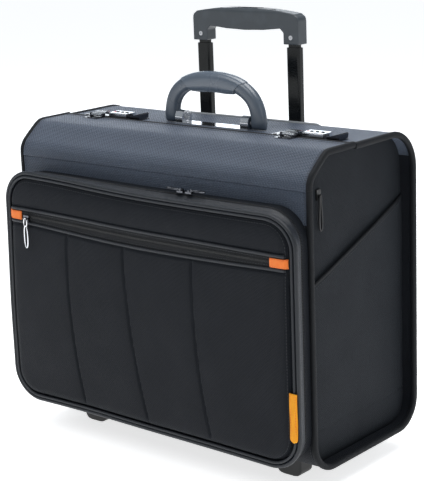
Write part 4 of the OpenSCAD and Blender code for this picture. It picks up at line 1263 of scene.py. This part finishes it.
class CASE_OT_handle(bpy.types.Operator):
    """Moulded carry handle with its grip sleeve"""

    bl_idname = "case.handle"
    bl_label = "Carry handle"

    def rings(self, ts, grow, slant=0.0, belly=0.0, count=36):
        """Rings across the arch; a slant turns each ring, and a belly fills the grip out on its underside."""
        phi = np.linspace(0, 2 * math.pi, count, endpoint=False)
        dense = np.linspace(0, 1, 1201)
        x, z = handle_point(dense)
        run = np.concatenate([[0], np.cumsum(np.hypot(np.diff(x), np.diff(z)))])
        run /= run[-1]
        tx, tz = np.gradient(x), np.gradient(z)
        size = np.hypot(tx, tz)
        tx, tz = tx / size, tz / size
        rows = []
        for t in ts:
            s = np.clip(t + slant * (2 * t - 1) * np.cos(phi), 0.0, 1.0)
            cx, cz = np.interp(s, run, x), np.interp(s, run, z)
            ux, uz = np.interp(s, run, tx), np.interp(s, run, tz)
            nx, nz = uz, -ux
            foot = np.minimum(s, 1 - s)
            flare = 1.4 * np.exp(-((foot / 0.07) ** 2))
            w = 9.5 + grow
            d = 7.6 + grow
            c, q = np.cos(phi), np.sin(phi)
            fill = belly * np.exp(-np.abs((t - 0.5) / 0.215) ** 5)
            a = np.sign(c) * np.abs(c) ** 0.78 * (w + np.where(c > 0, flare, fill))
            b = np.sign(q) * np.abs(q) ** 0.80 * d
            rows.append(np.stack([cx + nx * a, PIVOT_Y + b, cz + nz * a], 1))
        return np.array(rows)

    def execute(self, context):
        ts = np.concatenate([[0.0], np.linspace(0.012, 0.988, 130), [1.0]])
        arch = self.rings(ts, 0.0)
        ends = []
        for k in (0, -1):
            for drop, scale in ((2.5, 0.94), (4.8, 0.77), (6.3, 0.54), (7.2, 0.2)):
                ring = arch[k].copy()
                ring[:, 2] -= drop
                ring[:, 1] = PIVOT_Y + (ring[:, 1] - PIVOT_Y) * scale
                ends.append((k, ring))
        first = [r for k, r in ends if k == 0][::-1]
        last = [r for k, r in ends if k == -1]
        body = grid("handle_moulding", np.concatenate([first, arch, last]), wrap_b=True, cap=True)
        dress(body, MATS["handle skin"])
        settle(body, "carry_handle", "sleeve_rubber", "handle_arch")
        t0, t1 = 0.285, 0.715
        ts = np.concatenate([[t0, t0 + 0.0015, t0 + 0.006], np.linspace(t0 + 0.012, t1 - 0.012, 70),
                             [t1 - 0.006, t1 - 0.0015, t1]])
        rows = self.rings(ts, 0.75, slant=0.075, belly=5.4)
        thin = self.rings(ts[[0, -1]], -0.6, slant=0.075)
        rows = np.concatenate([thin[:1], rows, thin[1:]])
        sleeve = grid("handle_sleeve", rows, wrap_b=True, cap=True)
        dress(sleeve, MATS["sleeve skin"])
        settle(sleeve, "carry_handle", "sleeve_rubber", "handle_grip_sleeve")
        return {"FINISHED"}


def softened(node, name, voxel, passes, mat, body, slot):
    """A copy of a CAD node with eased edges, as a moulding has."""
    src = NODES[node]
    obj = bpy.data.objects.new(name, src.data.copy())
    bpy.context.scene.collection.objects.link(obj)
    bm = bmesh.new()
    bm.from_mesh(obj.data)
    bmesh.ops.remove_doubles(bm, verts=bm.verts, dist=1e-6)
    bm.to_mesh(obj.data)
    bm.free()
    mod = obj.modifiers.new("voxels", "REMESH")
    mod.mode = "VOXEL"
    mod.voxel_size = voxel * MM
    mod.use_smooth_shade = True
    mod = obj.modifiers.new("ease", "SMOOTH")
    mod.factor = 0.5
    mod.iterations = passes
    baked(obj)
    obj.data.polygons.foreach_set("use_smooth", [True] * len(obj.data.polygons))
    dress(obj, mat)
    return settle(obj, body, slot, node)


class CASE_OT_trolley(bpy.types.Operator):
    """Moulded grip, collar and feet with eased edges"""

    bl_idname = "case.trolley"
    bl_label = "Trolley and feet"

    def execute(self, context):
        softened("trolley_grip", "trolley_grip_moulding", 0.75, 4, MATS["grip plastic"], "trolley_top", "grip_plastic")
        softened("trolley_collar", "collar_moulding", 1.1, 3, MATS["collar plastic"], "case", "collar_plastic")
        softened("front_feet", "foot_mouldings", 1.1, 5, MATS["black plastic"], "case", "black_plastic")
        return {"FINISHED"}


def wire(name, points, radius, mat, sides=8):
    """A closed loop of bent wire through points given in case millimetres."""
    p = np.asarray(points, float)
    t = np.roll(p, -1, 0) - np.roll(p, 1, 0)
    t /= np.linalg.norm(t, axis=1)[:, None]
    ref = np.array([0.13, 0.97, 0.21])
    a = np.cross(t, ref)
    a /= np.linalg.norm(a, axis=1)[:, None]
    b = np.cross(t, a)
    return dress(sweep(name, p, a, b, oval(radius, radius, sides), closed=True), mat)


def loop_points(centre, half, drop, top, axis, count=40):
    """A long rounded ring in a plane: half its width, from top down to drop."""
    t = np.linspace(0, 2 * math.pi, count, endpoint=False)
    across = half * np.sign(np.cos(t)) * np.abs(np.cos(t)) ** 0.75
    mid, tall = (top + drop) / 2, (top - drop) / 2
    along = mid + tall * np.sign(np.sin(t)) * np.abs(np.sin(t)) ** 0.9
    c = np.array(centre, float)
    return c + across[:, None] * np.array(axis[0], float) + along[:, None] * np.array(axis[1], float)


class CASE_OT_pulls(bpy.types.Operator):
    """Zip sliders' pulls in bent wire and cord"""

    bl_idname = "case.pulls"
    bl_label = "Zip pulls"

    def middle(self, node):
        lo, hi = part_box(node)
        c = (lo + hi) / 2
        return np.array([c.x / MM, (c.y - FRONT_Y) / MM, (c.z - BODY_Z) / MM])

    def execute(self, context):
        c, lo, hi = self.middle("front_zip_pull"), low("front_zip_pull"), high("front_zip_pull")
        top, drop = (hi.z - BODY_Z) / MM, (lo.z - BODY_Z) / MM
        hung, upright = (c[0], c[1], 0), ((1, 0, 0), (0, 0, 1))
        ring = loop_points(hung, 2.9, drop + 0.8, drop + 29, upright)
        eye = loop_points(hung, 2.7, drop + 28, top - 0.6, upright, 28)
        pin = [wire("ring", ring, 0.85, MATS["chrome"]), wire("eye", eye, 0.75, MATS["chrome"])]
        settle(joined("front_zip_wire_pull", pin), "front_zip_pull_body", "chrome_metal", "front_zip_pull")
        for side, sign in (("left", -1), ("right", 1)):
            node = f"pocket_pull_{side}"
            c, lo, hi = self.middle(node), low(node), high(node)
            x0, x1 = lo.x / MM, hi.x / MM
            if sign < 0:
                x0, x1 = x1, x0
            pts = loop_points((0, c[1], c[2]), 2.6, x0 + sign * 5.5, x1 - sign * 0.7, ((0, 1, 0), (1, 0, 0)))
            eye = loop_points((0, c[1], c[2]), 2.5, x0 + sign * 0.6, x0 + sign * 6.4, ((0, 1, 0), (1, 0, 0)), 24)
            steel = MATS["smoked steel"]
            pull = [wire("ring", pts, 0.8, steel), wire("eye", eye, 0.7, steel)]
            settle(joined(f"pocket_wire_pull_{side}", pull), f"pocket_pull_{side}_body", "chrome_metal", node)
        c, lo, hi = self.middle("side_zip_pull"), low("side_zip_pull"), high("side_zip_pull")
        top, drop = (hi.z - BODY_Z) / MM, (lo.z - BODY_Z) / MM
        pts = loop_points((c[0] + 0.6, c[1], 0), 3.2, drop + 1.2, top - 1.0, ((0, 1, 0), (0, 0, 1)), 48)
        pinch = np.interp(pts[:, 2], [drop, drop + 12, top - 10, top], [1.0, 0.92, 0.42, 0.75])
        pts[:, 1] = c[1] + (pts[:, 1] - c[1]) * pinch
        settle(wire("side_cord_pull", pts, 1.15, MATS["cord"]), "side_zip_pull_body", "cord_black", "side_zip_pull")
        return {"FINISHED"}


class CASE_OT_locks(bpy.types.Operator):
    """Red index marks beside the dials of the locks"""

    bl_idname = "case.locks"
    bl_label = "Lock details"

    def execute(self, context):
        parts = []
        for side in ("left", "right"):
            lo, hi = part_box(f"dial_{side}_1")
            x = lo.x / MM - 3.4
            y = ((lo.y + hi.y) / 2 - FRONT_Y) / MM
            z = high("lock_housings").z / MM - BODY_Z / MM
            t = np.linspace(0, 2 * math.pi, 14, endpoint=False)
            rings = [np.stack([x + r * np.cos(t), y + r * np.sin(t), np.full(14, z + dz)], 1)
                     for r, dz in ((1.5, -0.2), (1.5, 0.12), (1.15, 0.34), (0.5, 0.42))]
            parts.append(grid("mark", np.array(rings), wrap_b=True, cap=True))
        marks = joined("lock_index_marks", parts)
        dress(marks, MATS["red mark"])
        settle(marks, "case", "black_plastic")
        return {"FINISHED"}


FINISHES = {
    "chrome": ["handle_base_plate", "handle_brackets", "lock_housings", "hasp_left", "hasp_right"],
    "smoked steel": ["lock_plates", "hasp_mounts", "lock_button_left", "lock_button_right",
                     "front_zip_slider", "pocket_slider_left", "pocket_slider_right"],
    "brushed steel": ["handle_pins", "wheel_axles", "socket_screws", "outer_tubes"],
    "black tube": ["middle_tubes", "inner_tubes"],
    "black plastic": ["wheel_housings", "side_zip_slider"],
    "dial plastic": ["dial_left_1", "dial_left_2", "dial_left_3", "dial_right_1", "dial_right_2", "dial_right_3"],
    "button plastic": ["grip_button"],
    "tyre rubber": ["tyre_left", "tyre_right"],
    "hub plastic": ["hub_left", "hub_right"],
    "lining board": ["trolley_cover_panel", "divider"],
}


class CASE_OT_hardware(bpy.types.Operator):
    """Finishes for the metal, plastic and rubber pieces of the frame"""

    bl_idname = "case.hardware"
    bl_label = "Hardware finishes"

    def execute(self, context):
        for finish, names in FINISHES.items():
            for n in names:
                dress(NODES[n], MATS[finish])
        return {"FINISHED"}


ORDER = ["stage", "wrap", "ends", "flap", "pocket", "handle", "trolley", "pulls", "locks", "hardware"]


class CASE_PT_panel(bpy.types.Panel):
    """Lists the steps that build the case"""

    bl_idname = "CASE_PT_panel"
    bl_label = "Flight case"
    bl_space_type = "VIEW_3D"
    bl_region_type = "UI"
    bl_category = "Flight case"

    def draw(self, context):
        for name in ORDER:
            self.layout.operator(f"case.{name}")
        for group_name in ("case_cloth", "case_trim", "case_stage"):
            owner = getattr(context.scene, group_name)
            for key in owner.__annotations__:
                self.layout.prop(owner, key)


CLASSES = [ClothSettings, TrimSettings, StageSettings, CASE_OT_stage, CASE_OT_wrap, CASE_OT_ends, CASE_OT_flap,
           CASE_OT_pocket, CASE_OT_handle, CASE_OT_trolley, CASE_OT_pulls, CASE_OT_locks, CASE_OT_hardware,
           CASE_PT_panel]


def register():
    for c in CLASSES:
        bpy.utils.register_class(c)
    bpy.types.Scene.case_cloth = bpy.props.PointerProperty(type=ClothSettings)
    bpy.types.Scene.case_trim = bpy.props.PointerProperty(type=TrimSettings)
    bpy.types.Scene.case_stage = bpy.props.PointerProperty(type=StageSettings)


def unregister():
    for name in ("case_cloth", "case_trim", "case_stage"):
        delattr(bpy.types.Scene, name)
    for c in reversed(CLASSES):
        bpy.utils.unregister_class(c)


def main():
    register()
    make_materials()
    ROWS["along"] = row_tree("Stitch row")
    ROWS["up"] = row_tree("Zip teeth upright", across=(0, 0, 1))
    ROWS["depth"] = row_tree("Zip teeth in depth", across=(0, 1, 0))
    for name in ORDER:
        result = getattr(bpy.ops.case, name)()
        if result != {"FINISHED"}:
            raise RuntimeError(f"{name} did not finish")


if __name__ == "__main__":
    main()
